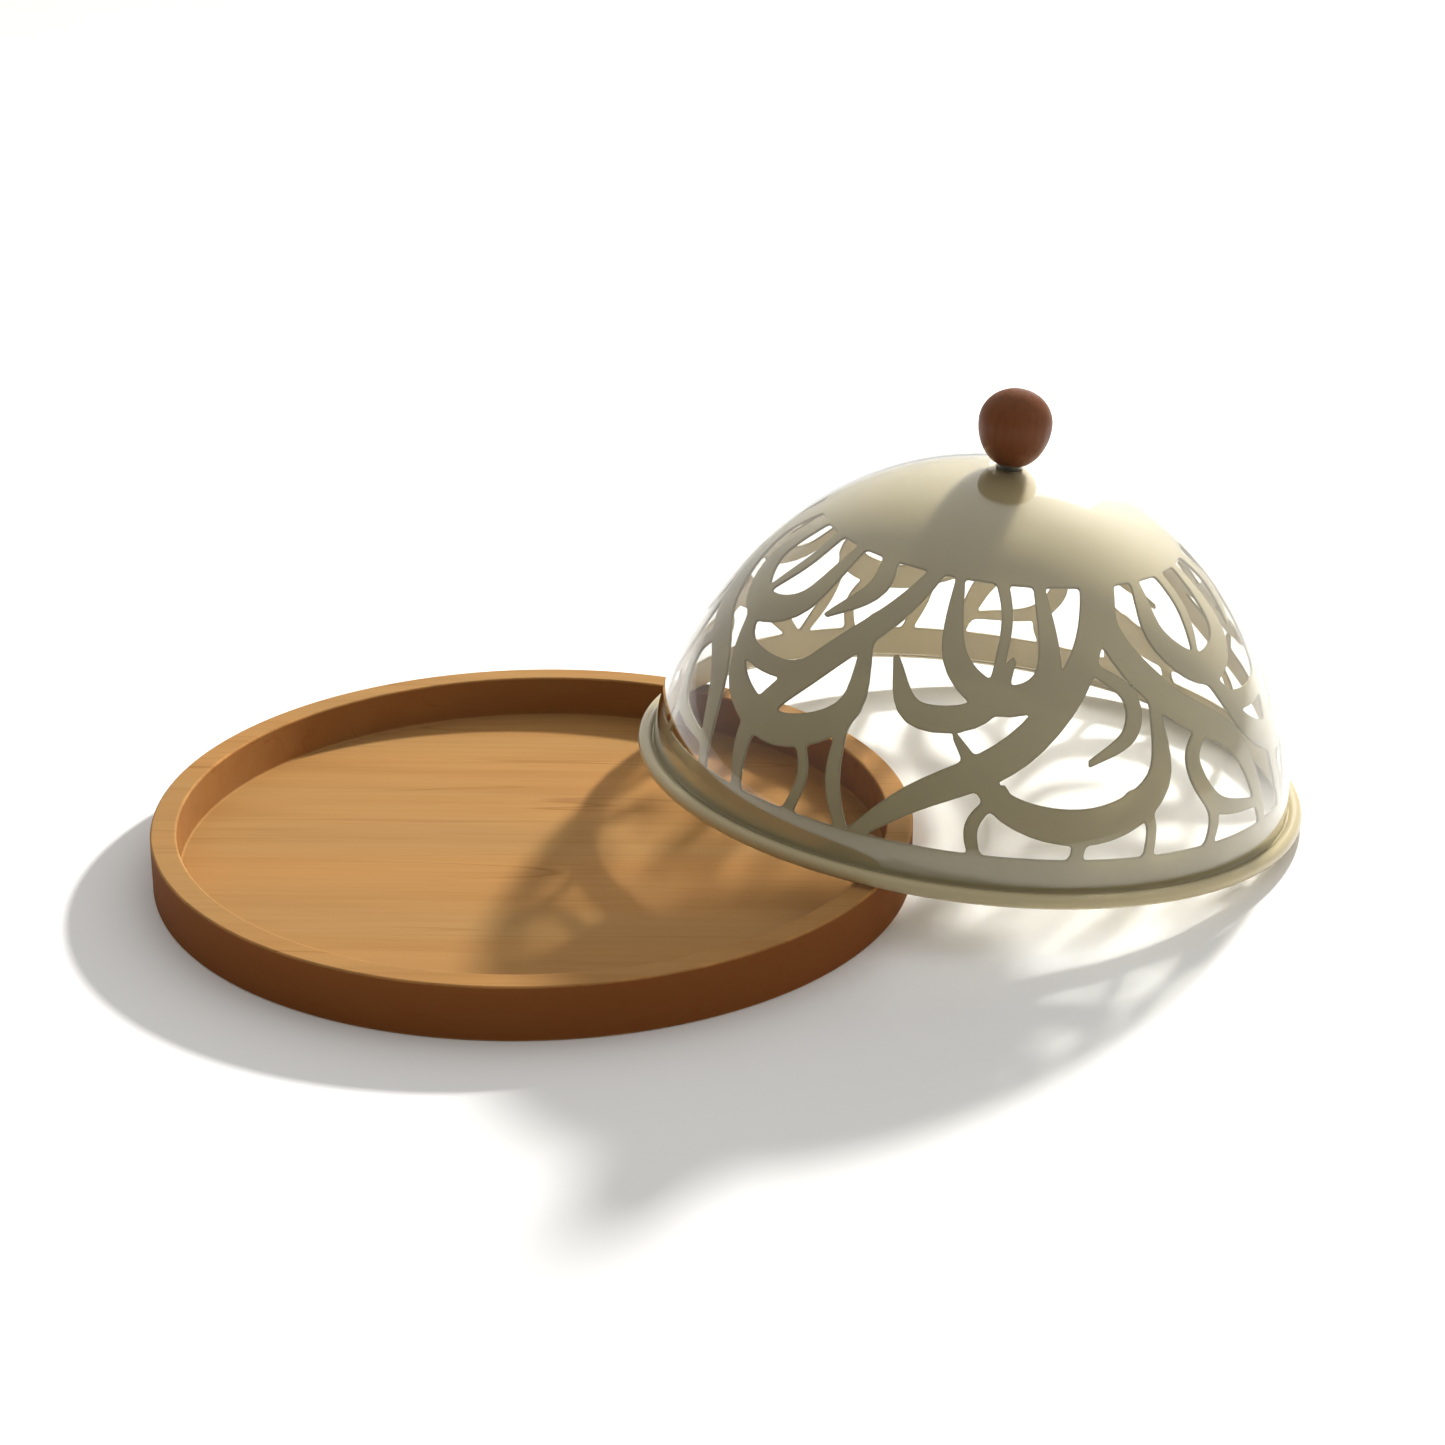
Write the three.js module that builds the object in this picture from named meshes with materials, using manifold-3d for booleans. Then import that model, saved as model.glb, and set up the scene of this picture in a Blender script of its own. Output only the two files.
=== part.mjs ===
// Cheese dome: a round wooden tray with a raised lip, and a lift-off dome made of an
// enamelled openwork shell under a clear cover, clamped together by the screw of a wooden knob.
// The dome stands leaning on the edge of its tray. Millimetres, +Z up; the origin is the
// centre of the tray's underside.

import * as THREE from 'three';
import { mergeVertices } from 'three/addons/utils/BufferGeometryUtils.js';
import loadManifold from 'manifold-3d';

const wasm = await loadManifold();
wasm.setup();

// ------------------------------------------------------------------ driving dimensions

const seatGap = 0.3; // air between pieces that touch

const domeDiameter = 310; // over the rolled bead
const domeHeight = 147; // bead centre to the crown of the clear cover
const flareExponent = 1.95; // roundness of the wall, seen from the side
const riseExponent = 1.8; // roundness of the crown, seen from the side
const beadRadius = 3.3; // rolled foot of the openwork shell
const coverThickness = 1.6; // clear cover
const shellSpacing = 1.0; // air between the clear cover and the openwork shell
const sheetThickness = 1.2; // openwork shell
const footBend = 1.8; // inside bend between the openwork wall and its flange

const curlEnd = -150; // degrees, where the bead's roll stops, short of closing

const footBandHeight = 16; // solid band at the foot of the openwork
const capDepth = 31; // crown of the cover down to where the solid cap starts
const smallestOpening = 12; // square millimetres; smaller ones are left solid

const screwRadius = 2.5;
const screwHeadRadius = 4.6;
const screwHeadHeight = 3;
const screwHeadTaper = 1.4; // how much narrower the head is at its end
const screwHeadRim = 1.6; // straight part of the head's side
const screwGrip = 12; // length of screw inside the knob
const screwTipChamfer = 0.9;
const socketRadius = 1.7; // hexagon drive, over its corners
const socketDepth = 1.8;
const washerRadius = 7;
const washerThickness = 0.8;
const gasketRadius = 6.2;
const gasketThickness = 0.8;
const crownLandMargin = 1; // flat at the crown of each shell, past the washer

const knobRadius = 16.7;
const knobSeatRadius = 8;
const knobBelly = 18.6; // seat to the widest place
const knobCrown = 15.4; // widest place to the top
const insertWall = 1.2;
const insertLength = 14;
const insertRecess = 0.6; // insert's end below the knob's seat
const boreSpareDepth = 1.5; // bore past the insert
const boreTipDepth = 2; // cone at the end of the bore

const lipClearance = 3.3; // dome to tray lip, all round
const rimWidth = 11.7; // top of the tray's lip
const trayHeight = 25;
const trayFloor = 5.2;
const floorCove = 1; // inside corner between lip and floor
const edgeRounding = 1.1; // eased outer and top edges of the wood

const restOverlap = 115; // how far the leaning dome reaches in over the tray
const restAzimuth = 18; // degrees, direction of the dome from the tray

const shellFacets = 44;
const trayFacets = 64;
const knobFacets = 32;
const smallFacets = 24;
const wallSteps = 7;
const curlSteps = 6;
const knobSteps = 7;
const outlineTolerance = 1.0; // how closely the openings follow their strokes
const traceColumns = 480; // grid on which the openings are found
const traceRows = 60;
const cutApexHeight = 30; // the openings are cut towards this height on the axis
const cutReach = 1.25; // length of a cutter over its distance to the wall

// ------------------------------------------------------------------ derived sizes

const coverRadius = domeDiameter / 2 - 2 * beadRadius - seatGap;
const beadCentreRadius = domeDiameter / 2 - beadRadius;
const sheetInset = coverThickness + shellSpacing; // cover's outside to sheet's outside
const clearanceRadius = screwRadius + seatGap; // holes that the screw passes
const insertRadius = clearanceRadius + insertWall;
const crownLandRadius = Math.max(washerRadius, gasketRadius) + crownLandMargin;
const crownGasketThickness = shellSpacing - 2 * seatGap;
const capHeight = domeHeight - capDepth;
const wellRadius = domeDiameter / 2 + lipClearance;
const trayRadius = wellRadius + rimWidth;
const restDistance = trayRadius + domeDiameter / 2 - restOverlap;
const radians = THREE.MathUtils.degToRad;
const degrees = THREE.MathUtils.radToDeg;

// ------------------------------------------------------------------ openwork strokes

// The openwork is drawn as brush strokes that swell and taper, over a tile that repeats
// round the dome. Each stroke lists its points as [azimuth in degrees, height in percent of
// the openwork], then its width in millimetres at the start, the middle and the end.

const tileCount = 3;
const tileAzimuth = -14; // turns the whole pattern about the axis
const strokeBlend = 2.5; // fillet where strokes meet
const runsPerSpan = 6; // straight runs from one point of a stroke to the next

const strokes = [
  // long sweeps from the foot band to the cap
  { points: [[-2, -6], [10, 16], [28, 38], [43, 72], [51, 106]], widths: [4, 15, 8] },
  { points: [[58, 106], [51, 82], [62, 54], [79, 32], [86, -6]], widths: [6, 15, 5] },
  { points: [[96, -6], [94, 24], [104, 54], [116, 82], [123, 106]], widths: [4, 13, 6] },
  // crescents
  { points: [[9, 100], [13, 68], [24, 55], [34, 66], [33, 106]], widths: [4, 14, 4] },
  { points: [[68, 104], [65, 78], [76, 62], [90, 72], [93, 106]], widths: [4, 15, 4] },
  { points: [[16, 40], [27, 17], [43, 12], [56, 26], [58, 56]], widths: [3, 16, 4] },
  { points: [[76, 58], [86, 34], [101, 26], [114, 42], [111, 76]], widths: [4, 15, 3] },
  { points: [[120, 64], [127, 46], [140, 50], [146, 70]], widths: [3, 12, 3] },
  // leaves
  { points: [[43, 70], [52, 58], [51, 44], [42, 34]], widths: [5, 8, 3] },
  { points: [[72, 46], [65, 32], [70, 14], [83, 8]], widths: [4, 9, 4] },
  { points: [[98, 70], [107, 88], [103, 106]], widths: [2, 10, 5] },
  { points: [[76, 64], [82, 48], [95, 46], [104, 54]], widths: [3, 9, 5] },
  // stems from the foot band
  { points: [[39, -6], [41, 14]], widths: [6, 6, 6] },
  { points: [[53, -6], [54, 12], [50, 22]], widths: [5, 5, 4] },
  { points: [[66, -6], [69, 8], [67, 20]], widths: [4, 6, 4] },
  { points: [[23, -6], [21, 10], [26, 24]], widths: [4, 6, 3] },
  { points: [[107, -6], [109, 14], [105, 30]], widths: [6, 5, 4] },
  { points: [[120, -6], [115, 16], [114, 42]], widths: [4, 7, 3] },
  // tendrils under the cap
  { points: [[21, 106], [24, 86], [22, 58]], widths: [6, 5, 4] },
  { points: [[80, 106], [80, 86], [75, 66]], widths: [6, 6, 3] },
];

// ------------------------------------------------------------------ solids

const group = new THREE.Group();
const domeGroup = new THREE.Group();
group.add(domeGroup);

const finishes = {
  wood: { color: 0xc89460, roughness: 0.55, metalness: 0 },
  enamel: { color: 0xd8d2bc, roughness: 0.3, metalness: 0.1 },
  clear: { color: 0xf2f5f2, roughness: 0.03, metalness: 0 },
  walnut: { color: 0x5c3520, roughness: 0.45, metalness: 0 },
  steel: { color: 0xb8babc, roughness: 0.3, metalness: 1 },
  brass: { color: 0xc9a24a, roughness: 0.35, metalness: 1 },
  silicone: { color: 0xdfe0da, roughness: 0.7, metalness: 0 },
};

function signedVolume(positions, index) {
  const corners = [0, 1, 2].map(() => new THREE.Vector3());
  let volume = 0;
  for (let i = 0; i < index.length; i += 3) {
    corners.forEach((corner, k) => corner.fromArray(positions, 3 * index[i + k]));
    volume += corners[0].dot(corners[1].clone().cross(corners[2])) / 6;
  }
  return volume;
}

// Makes a solid of a closed geometry, with its faces pointing out.
function toSolid(geometry) {
  const bare = geometry.clone();
  bare.deleteAttribute('normal');
  bare.deleteAttribute('uv');
  const merged = mergeVertices(bare, 1e-4);
  const vertProperties = new Float32Array(merged.attributes.position.array);
  const triVerts = new Uint32Array(merged.index.array);
  if (signedVolume(vertProperties, triVerts) < 0) {
    for (let i = 0; i < triVerts.length; i += 3) {
      [triVerts[i], triVerts[i + 1]] = [triVerts[i + 1], triVerts[i]];
    }
  }
  return new wasm.Manifold(new wasm.Mesh({ numProp: 3, vertProperties, triVerts }));
}

function addPiece(parent, name, solid, finish) {
  const { vertProperties, triVerts } = solid.getMesh();
  const geometry = new THREE.BufferGeometry();
  geometry.setAttribute('position', new THREE.BufferAttribute(vertProperties, 3));
  geometry.setIndex(new THREE.BufferAttribute(triVerts, 1));
  geometry.computeVertexNormals();
  const mesh = new THREE.Mesh(geometry, new THREE.MeshStandardMaterial(finishes[finish]));
  mesh.name = name;
  parent.add(mesh);
}

// Turns a profile of [radius, height] points about the Z axis.
function turned(profile, facets) {
  const points = profile.map(([radius, height]) => new THREE.Vector2(radius, height));
  return toSolid(new THREE.LatheGeometry(points, facets).rotateX(Math.PI / 2));
}

// A flat ring, as a closed profile.
function ring(innerRadius, outerRadius, low, high) {
  return [
    [innerRadius, low],
    [outerRadius, low],
    [outerRadius, high],
    [innerRadius, high],
    [innerRadius, low],
  ];
}

// Points of an arc in a profile, both ends included.
function arc(centreRadius, centreHeight, radius, from, to, steps) {
  return Array.from({ length: steps + 1 }, (_, i) => {
    const angle = radians(from + ((to - from) * i) / steps);
    return [centreRadius + radius * Math.cos(angle), centreHeight + radius * Math.sin(angle)];
  });
}

// ------------------------------------------------------------------ dome profile

// The cover's outside is a superellipse; angle 0 is the foot and 90 degrees the crown.
// inset moves a point inwards along the wall's normal.
function wallPoint(angle, inset) {
  const at = (a) => [
    coverRadius * Math.cos(a) ** (2 / flareExponent),
    domeHeight * Math.sin(a) ** (2 / riseExponent),
  ];
  const nudge = 1e-4;
  const low = at(Math.max(angle - nudge, 0));
  const high = at(Math.min(angle + nudge, Math.PI / 2));
  const [radius, height] = at(angle);
  const run = [high[0] - low[0], high[1] - low[1]];
  const length = Math.hypot(...run);
  return [radius - (inset * run[1]) / length, height + (inset * run[0]) / length];
}

// Finds the wall angle at which pick(point) reaches a value, between two angles.
function wallAngle(inset, pick, value, low, high) {
  const rising = pick(wallPoint(high, inset)) > pick(wallPoint(low, inset));
  for (let i = 0; i < 50; i += 1) {
    const middle = (low + high) / 2;
    const past = pick(wallPoint(middle, inset)) > value;
    if (past === rising) {
      high = middle;
    } else {
      low = middle;
    }
  }
  return (low + high) / 2;
}

const radiusOf = (point) => point[0];
const heightOf = (point) => point[1];

const landAngle = (inset) => wallAngle(inset, radiusOf, crownLandRadius, radians(60), radians(89.99));

// Each shell is flat at the crown, where the gaskets clamp it.
const crownHeight = (inset) => heightOf(wallPoint(landAngle(inset), inset));

// The wall from the screw hole in the crown down to a height near the foot.
function wallLine(inset, footHeight) {
  const land = landAngle(inset);
  const foot = wallAngle(inset, heightOf, footHeight, radians(0.1), radians(30));
  const wall = Array.from({ length: wallSteps + 1 }, (_, i) =>
    wallPoint(land + ((foot - land) * i) / wallSteps, inset));
  return [[clearanceRadius, crownHeight(inset)], ...wall];
}

// Moves a line sideways by a distance, to its left.
function offsetLine(line, distance) {
  return line.map((point, i) => {
    const before = line[Math.max(i - 1, 0)];
    const after = line[Math.min(i + 1, line.length - 1)];
    const into = new THREE.Vector2(point[0] - before[0], point[1] - before[1]).normalize();
    const out = new THREE.Vector2(after[0] - point[0], after[1] - point[1]).normalize();
    const along = into.clone().add(out).normalize();
    const miter = i === 0 || i === line.length - 1 ? 1 : Math.max(along.dot(out), 0.5);
    return [point[0] - (along.y * distance) / miter, point[1] + (along.x * distance) / miter];
  });
}

// ------------------------------------------------------------------ openwork outlines

const sheetMiddle = sheetInset + sheetThickness / 2;
const flangeHeight = sheetThickness / 2; // middle of the flange's sheet

// Length along the wall from the foot, against the wall's point, for the openwork zone.
const wallTable = (() => {
  const top = wallAngle(sheetMiddle, heightOf, capHeight, radians(10), radians(89));
  const foot = wallAngle(sheetMiddle, heightOf, footBandHeight, radians(0.1), radians(60));
  const table = [];
  let length = 0;
  for (let i = 0; i <= traceRows; i += 1) {
    const point = wallPoint(foot + ((top - foot) * i) / traceRows, sheetMiddle);
    if (i > 0) {
      const last = table[i - 1].point;
      length += Math.hypot(point[0] - last[0], point[1] - last[1]);
    }
    table.push({ length, point });
  }
  return table;
})();
const openworkHeight = wallTable.at(-1).length;

function wallAtLength(length) {
  const next = Math.max(1, wallTable.findIndex((row) => row.length >= length));
  const a = wallTable[next - 1];
  const b = wallTable[next];
  const share = (length - a.length) / (b.length - a.length);
  return [0, 1].map((k) => a.point[k] + (b.point[k] - a.point[k]) * share);
}

// A stroke as short straight runs, with its half width at each end of each run.
function strokeRuns({ points, widths }) {
  const places = points.map(([azimuth, percent]) =>
    new THREE.Vector3(azimuth, (percent * openworkHeight) / 100, 0));
  const curve = new THREE.CatmullRomCurve3(places, false, 'catmullrom', 0.5);
  const count = runsPerSpan * (points.length - 1);
  const nodes = Array.from({ length: count + 1 }, (_, i) => {
    const t = i / count;
    const end = t < 0.5 ? widths[0] : widths[2];
    const { x, y } = curve.getPoint(t);
    return { azimuth: x, length: y, half: (end + (widths[1] - end) * Math.sin(Math.PI * t)) / 2 };
  });
  return nodes.slice(1).map((node, i) => [nodes[i], node]);
}

const tileRuns = strokes.map(strokeRuns);
const wrapDegrees = (angle) => THREE.MathUtils.euclideanModulo(angle + 180, 360) - 180;

// Distance from the metal's edge at a place on the wall: negative in the metal.
function edgeDistance(azimuth, length, radius) {
  const arcPerDegree = radians(1) * radius;
  const blend = (a, b) => {
    const overlap = Math.max(strokeBlend - Math.abs(a - b), 0) / strokeBlend;
    return Math.min(a, b) - (overlap * overlap * strokeBlend) / 4;
  };
  let metal = blend(length, openworkHeight - length);
  for (let tile = 0; tile < tileCount; tile += 1) {
    const turn = tileAzimuth + (360 / tileCount) * tile;
    for (const runs of tileRuns) {
      let stroke = Infinity;
      for (const [from, to] of runs) {
        const px = wrapDegrees(azimuth - turn - from.azimuth) * arcPerDegree;
        const py = length - from.length;
        const rx = (to.azimuth - from.azimuth) * arcPerDegree;
        const ry = to.length - from.length;
        const share = THREE.MathUtils.clamp((px * rx + py * ry) / (rx * rx + ry * ry), 0, 1);
        const half = from.half + (to.half - from.half) * share;
        stroke = Math.min(stroke, Math.hypot(px - share * rx, py - share * ry) - half);
      }
      metal = blend(metal, stroke);
    }
  }
  return metal;
}

// Follows the edges of the openings over a grid of squares, as closed loops of
// [azimuth, length] points. A crossing is named by the grid edge that it lies on.
function traceOpenings(columns, rows) {
  const step = 360 / columns;
  const rise = openworkHeight / rows;
  const value = Array.from({ length: rows + 1 }, (_, row) => {
    const length = openworkHeight * (row / rows); // the last row is the crown's edge itself
    const radius = wallAtLength(length)[0];
    return Array.from({ length: columns }, (__, column) => edgeDistance(column * step, length, radius));
  });
  const at = (column, row) => value[row][column % columns];
  const crossing = (column, row, upright) => {
    const here = at(column, row);
    const there = upright ? at(column, row + 1) : at(column + 1, row);
    const share = here / (here - there);
    return upright ? [column * step, (row + share) * rise] : [(column + share) * step, row * rise];
  };
  const next = new Map();
  const key = (column, row, upright) => `${column % columns}/${row}/${upright ? 1 : 0}`;
  const places = new Map();
  for (let row = 0; row < rows; row += 1) {
    for (let column = 0; column < columns; column += 1) {
      const corners = [[0, 0], [1, 0], [1, 1], [0, 1]];
      const open = corners.map(([x, y]) => at(column + x, row + y) > 0);
      // edge k runs from corner k to corner k + 1, round the square
      const edges = [
        [column, row, false],
        [column + 1, row, true],
        [column, row + 1, false],
        [column, row, true],
      ];
      for (let k = 0; k < 4; k += 1) {
        if (open[k] && !open[(k + 1) % 4]) {
          // leave the open side here and walk back to where it was entered
          let entry = (k + 3) % 4;
          while (!(!open[entry] && open[(entry + 1) % 4])) {
            entry = (entry + 3) % 4;
          }
          next.set(key(...edges[k]), key(...edges[entry]));
          places.set(key(...edges[k]), crossing(...edges[k]));
        }
      }
    }
  }
  const loops = [];
  while (next.size > 0) {
    const loop = [];
    let name = next.keys().next().value;
    while (next.has(name)) {
      loop.push(places.get(name));
      const following = next.get(name);
      next.delete(name);
      name = following;
    }
    for (let i = 1; i < loop.length; i += 1) {
      loop[i] = [loop[i - 1][0] + wrapDegrees(loop[i][0] - loop[i - 1][0]), loop[i][1]];
    }
    loops.push(loop);
  }
  return loops;
}

// Keeps only the points of a line that its shape needs, to a tolerance.
function thin(line, tolerance) {
  const first = line[0];
  const last = line.at(-1);
  let worst = 0;
  let split = 0;
  const run = [last[0] - first[0], last[1] - first[1]];
  const length = Math.hypot(...run) || 1;
  for (let i = 1; i < line.length - 1; i += 1) {
    const [x, y] = [line[i][0] - first[0], line[i][1] - first[1]];
    const offset = Math.abs(run[0] * y - run[1] * x) / length;
    if (offset > worst) {
      worst = offset;
      split = i;
    }
  }
  if (worst <= tolerance) {
    return [first, last];
  }
  return [...thin(line.slice(0, split + 1), tolerance).slice(0, -1), ...thin(line.slice(split), tolerance)];
}

// An opening's outline as points on the wall, thinned as seen flat.
function openingOutline(loop) {
  const arcPerDegree = radians(1) * wallAtLength(openworkHeight / 2)[0];
  const flat = loop.map(([azimuth, length]) => [azimuth * arcPerDegree, length]);
  const far = flat.reduce((best, point, i) => {
    const reach = Math.hypot(point[0] - flat[0][0], point[1] - flat[0][1]);
    return reach > best.reach ? { reach, i } : best;
  }, { reach: 0, i: 0 }).i;
  const there = thin(flat.slice(0, far + 1), outlineTolerance);
  const back = thin([...flat.slice(far), flat[0]], outlineTolerance);
  return [...there.slice(0, -1), ...back.slice(0, -1)].map(([x, length]) => [x / arcPerDegree, length]);
}

// A cone from a point inside the dome through one outline and out past the wall.
function openingCutter(outline) {
  const apex = new THREE.Vector3(0, 0, cutApexHeight);
  const corners = outline.map(([azimuth, length]) => {
    const [radius, height] = wallAtLength(length);
    const place = new THREE.Vector3(
      radius * Math.cos(radians(azimuth)), radius * Math.sin(radians(azimuth)), height,
    );
    return place.sub(apex).multiplyScalar(cutReach).add(apex);
  });
  const positions = [apex, ...corners].flatMap((corner) => corner.toArray());
  const count = corners.length;
  const sides = corners.map((_, i) => [0, 1 + ((i + 1) % count), 1 + i]);
  const flat = outline.map(([azimuth, length]) => new THREE.Vector2(azimuth, length));
  const cap = THREE.ShapeUtils.triangulateShape(flat, []).map((face) => face.map((corner) => corner + 1));
  const geometry = new THREE.BufferGeometry();
  geometry.setAttribute('position', new THREE.Float32BufferAttribute(positions, 3));
  geometry.setIndex([...cap, ...sides].flat());
  return toSolid(geometry);
}

// ------------------------------------------------------------------ dome pieces

// The openwork shell: wall, bend, flange and a rolled bead whose end stays just open.
function openworkShell() {
  const bendHeight = flangeHeight + footBend;
  const wall = wallLine(sheetMiddle, bendHeight);
  const bendRadius = radiusOf(wall.at(-1)) + footBend;
  const bend = arc(bendRadius, bendHeight, footBend, 180, 270, 3).slice(1);
  const curlRadius = beadRadius - sheetThickness / 2;
  const start = 180 - degrees(Math.asin(flangeHeight / curlRadius));
  const curl = arc(beadCentreRadius, 0, curlRadius, start, curlEnd, curlSteps);
  const middle = [...wall, ...bend, ...curl];
  const outside = offsetLine(middle, sheetThickness / 2);
  const inside = offsetLine(middle, -sheetThickness / 2).reverse();
  const shell = turned([...outside, ...inside, outside[0]], shellFacets);
  const area = (outline) => THREE.ShapeUtils.area(outline.map(([azimuth, length]) =>
    new THREE.Vector2(azimuth * radians(1) * coverRadius, length)));
  return traceOpenings(traceColumns, traceRows)
    .map(openingOutline)
    .map((outline) => (area(outline) > 0 ? outline : outline.toReversed()))
    .filter((outline) => area(outline) > smallestOpening)
    .reduce((cut, outline) => cut.subtract(openingCutter(outline)), shell);
}

// The clear cover, whose foot stands on the flange behind the bead.
function clearCover() {
  const foot = sheetThickness + seatGap;
  const outside = wallLine(0, foot);
  const inside = wallLine(coverThickness, foot).reverse();
  return turned([...outside, ...inside, outside[0]], shellFacets);
}

// Heights of the stack that the screw clamps, from the knob down.
const knobSeat = crownHeight(0) + seatGap + gasketThickness + seatGap;
const sheetInside = sheetInset + sheetThickness;
const innerGasketTop = crownHeight(sheetInside) - seatGap;
const washerTop = innerGasketTop - gasketThickness - seatGap;
const headTop = washerTop - washerThickness - seatGap;

// An egg-shaped knob, narrower towards its seat, with a blind bore for the insert.
function knob() {
  const lowerReach = knobBelly / Math.sqrt(1 - (knobSeatRadius / knobRadius) ** 2);
  const lowest = Math.asin(knobBelly / lowerReach);
  const bore = insertRadius + seatGap;
  const boreTop = insertRecess + insertLength + boreSpareDepth;
  const quarter = (from, to, reach) => Array.from({ length: knobSteps + 1 }, (_, i) => {
    const angle = from + ((to - from) * i) / knobSteps;
    return [knobRadius * Math.cos(angle), knobBelly + reach * Math.sin(angle)];
  });
  const profile = [
    [0, boreTop + boreTipDepth],
    [bore, boreTop],
    [bore, 0],
    ...quarter(-lowest, 0, lowerReach),
    ...quarter(0, Math.PI / 2, knobCrown).slice(1, -1),
    [0, knobBelly + knobCrown],
  ].map(([radius, height]) => [radius, height + knobSeat]);
  return turned(profile, knobFacets);
}

// A pan head screw with a hexagon socket; its head is inside the dome.
function screw() {
  const top = knobSeat + screwGrip;
  const profile = [
    [0, headTop - screwHeadHeight],
    [screwHeadRadius - screwHeadTaper, headTop - screwHeadHeight],
    [screwHeadRadius, headTop - screwHeadRim],
    [screwHeadRadius, headTop],
    [screwRadius, headTop],
    [screwRadius, top - screwTipChamfer],
    [screwRadius - screwTipChamfer, top],
    [0, top],
  ];
  const socket = new THREE.CylinderGeometry(socketRadius, socketRadius, 2 * socketDepth, 6);
  socket.rotateX(Math.PI / 2).translate(0, 0, headTop - screwHeadHeight);
  return turned(profile, smallFacets).subtract(toSolid(socket));
}

// ------------------------------------------------------------------ tray

function tray() {
  const profile = [
    [0, 0],
    [trayRadius - edgeRounding, 0],
    ...arc(trayRadius - edgeRounding, edgeRounding, edgeRounding, -90, 0, 2).slice(1),
    ...arc(trayRadius - edgeRounding, trayHeight - edgeRounding, edgeRounding, 0, 90, 3),
    ...arc(wellRadius + edgeRounding, trayHeight - edgeRounding, edgeRounding, 90, 180, 3),
    ...arc(wellRadius - floorCove, trayFloor + floorCove, floorCove, 0, -90, 4),
    [0, trayFloor],
  ];
  return turned(profile, trayFacets);
}

// ------------------------------------------------------------------ leaning rest pose

// The dome's bead lies over the tray's edge on one side and on the ground on the other.
// Smallest gap between bead and tray at a lean, worked out along the bead's middle line.
function beadClearance(lean) {
  const samples = 720;
  let nearest = Infinity;
  for (let i = 0; i < samples; i += 1) {
    const angle = (2 * Math.PI * i) / samples;
    const along = beadCentreRadius * Math.cos(angle);
    const x = restDistance + along * Math.cos(lean);
    const y = beadCentreRadius * Math.sin(angle);
    const height = beadRadius + (beadCentreRadius - along) * Math.sin(lean) - trayHeight;
    const outward = Math.hypot(x, y) - trayRadius;
    const gap = outward > 0 ? Math.hypot(outward, Math.max(height, 0)) : height;
    nearest = Math.min(nearest, gap);
  }
  return nearest - beadRadius;
}

function restLean() {
  let low = 0;
  let high = radians(30);
  for (let i = 0; i < 50; i += 1) {
    const middle = (low + high) / 2;
    if (beadClearance(middle) < seatGap) {
      low = middle;
    } else {
      high = middle;
    }
  }
  return high;
}

// ------------------------------------------------------------------ assembly

addPiece(group, 'tray', tray(), 'wood');

addPiece(domeGroup, 'openwork_dome', openworkShell(), 'enamel');
addPiece(domeGroup, 'clear_dome', clearCover(), 'clear');

const crownGasketTop = crownHeight(coverThickness) - seatGap;
const gasket = (top, thickness) =>
  turned(ring(clearanceRadius, gasketRadius, top - thickness, top), smallFacets);
addPiece(domeGroup, 'knob_gasket', gasket(knobSeat - seatGap, gasketThickness), 'silicone');
addPiece(domeGroup, 'crown_gasket', gasket(crownGasketTop, crownGasketThickness), 'silicone');
addPiece(domeGroup, 'screw_gasket', gasket(innerGasketTop, gasketThickness), 'silicone');

const washer = ring(clearanceRadius, washerRadius, washerTop - washerThickness, washerTop);
addPiece(domeGroup, 'screw_washer', turned(washer, smallFacets), 'steel');

addPiece(domeGroup, 'knob', knob(), 'walnut');
const insertFoot = knobSeat + insertRecess;
const insert = ring(clearanceRadius, insertRadius, insertFoot, insertFoot + insertLength);
addPiece(domeGroup, 'knob_insert', turned(insert, smallFacets), 'brass');
addPiece(domeGroup, 'knob_screw', screw(), 'steel');

const lean = restLean();
const towards = radians(restAzimuth);
domeGroup.rotation.set(0, lean, towards, 'ZYX');
domeGroup.position.set(
  restDistance * Math.cos(towards),
  restDistance * Math.sin(towards),
  beadRadius + beadCentreRadius * Math.sin(lean),
);
group.updateMatrixWorld(true);

export default group;
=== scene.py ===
"""A cheese dome: fine meshes, finishes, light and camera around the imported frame.

A turned wooden tray with a raised lip, and a lift-off dome made of an enamelled openwork
shell under a clear cover, clamped together by the screw of a wooden knob. The dome stands
leaning on the edge of its tray. Everything is in metres, in the frame's own axes.
"""

import logging
import math
from dataclasses import dataclass, field
from enum import Enum

import bpy
import numpy as np
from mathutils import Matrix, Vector


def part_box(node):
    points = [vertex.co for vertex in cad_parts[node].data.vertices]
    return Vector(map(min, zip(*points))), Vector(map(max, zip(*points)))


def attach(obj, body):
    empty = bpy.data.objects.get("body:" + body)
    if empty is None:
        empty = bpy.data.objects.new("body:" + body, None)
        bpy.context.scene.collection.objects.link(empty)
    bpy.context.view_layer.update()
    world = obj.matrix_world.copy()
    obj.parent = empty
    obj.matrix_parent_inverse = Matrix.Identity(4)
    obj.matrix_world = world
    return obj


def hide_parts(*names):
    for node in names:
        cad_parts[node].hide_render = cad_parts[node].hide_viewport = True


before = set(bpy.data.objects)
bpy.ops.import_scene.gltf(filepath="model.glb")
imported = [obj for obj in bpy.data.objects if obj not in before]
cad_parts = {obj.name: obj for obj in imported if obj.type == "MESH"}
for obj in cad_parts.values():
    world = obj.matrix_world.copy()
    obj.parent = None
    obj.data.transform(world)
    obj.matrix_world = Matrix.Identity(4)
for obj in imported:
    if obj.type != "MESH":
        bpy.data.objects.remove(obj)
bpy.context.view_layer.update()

MM = 0.001
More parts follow.
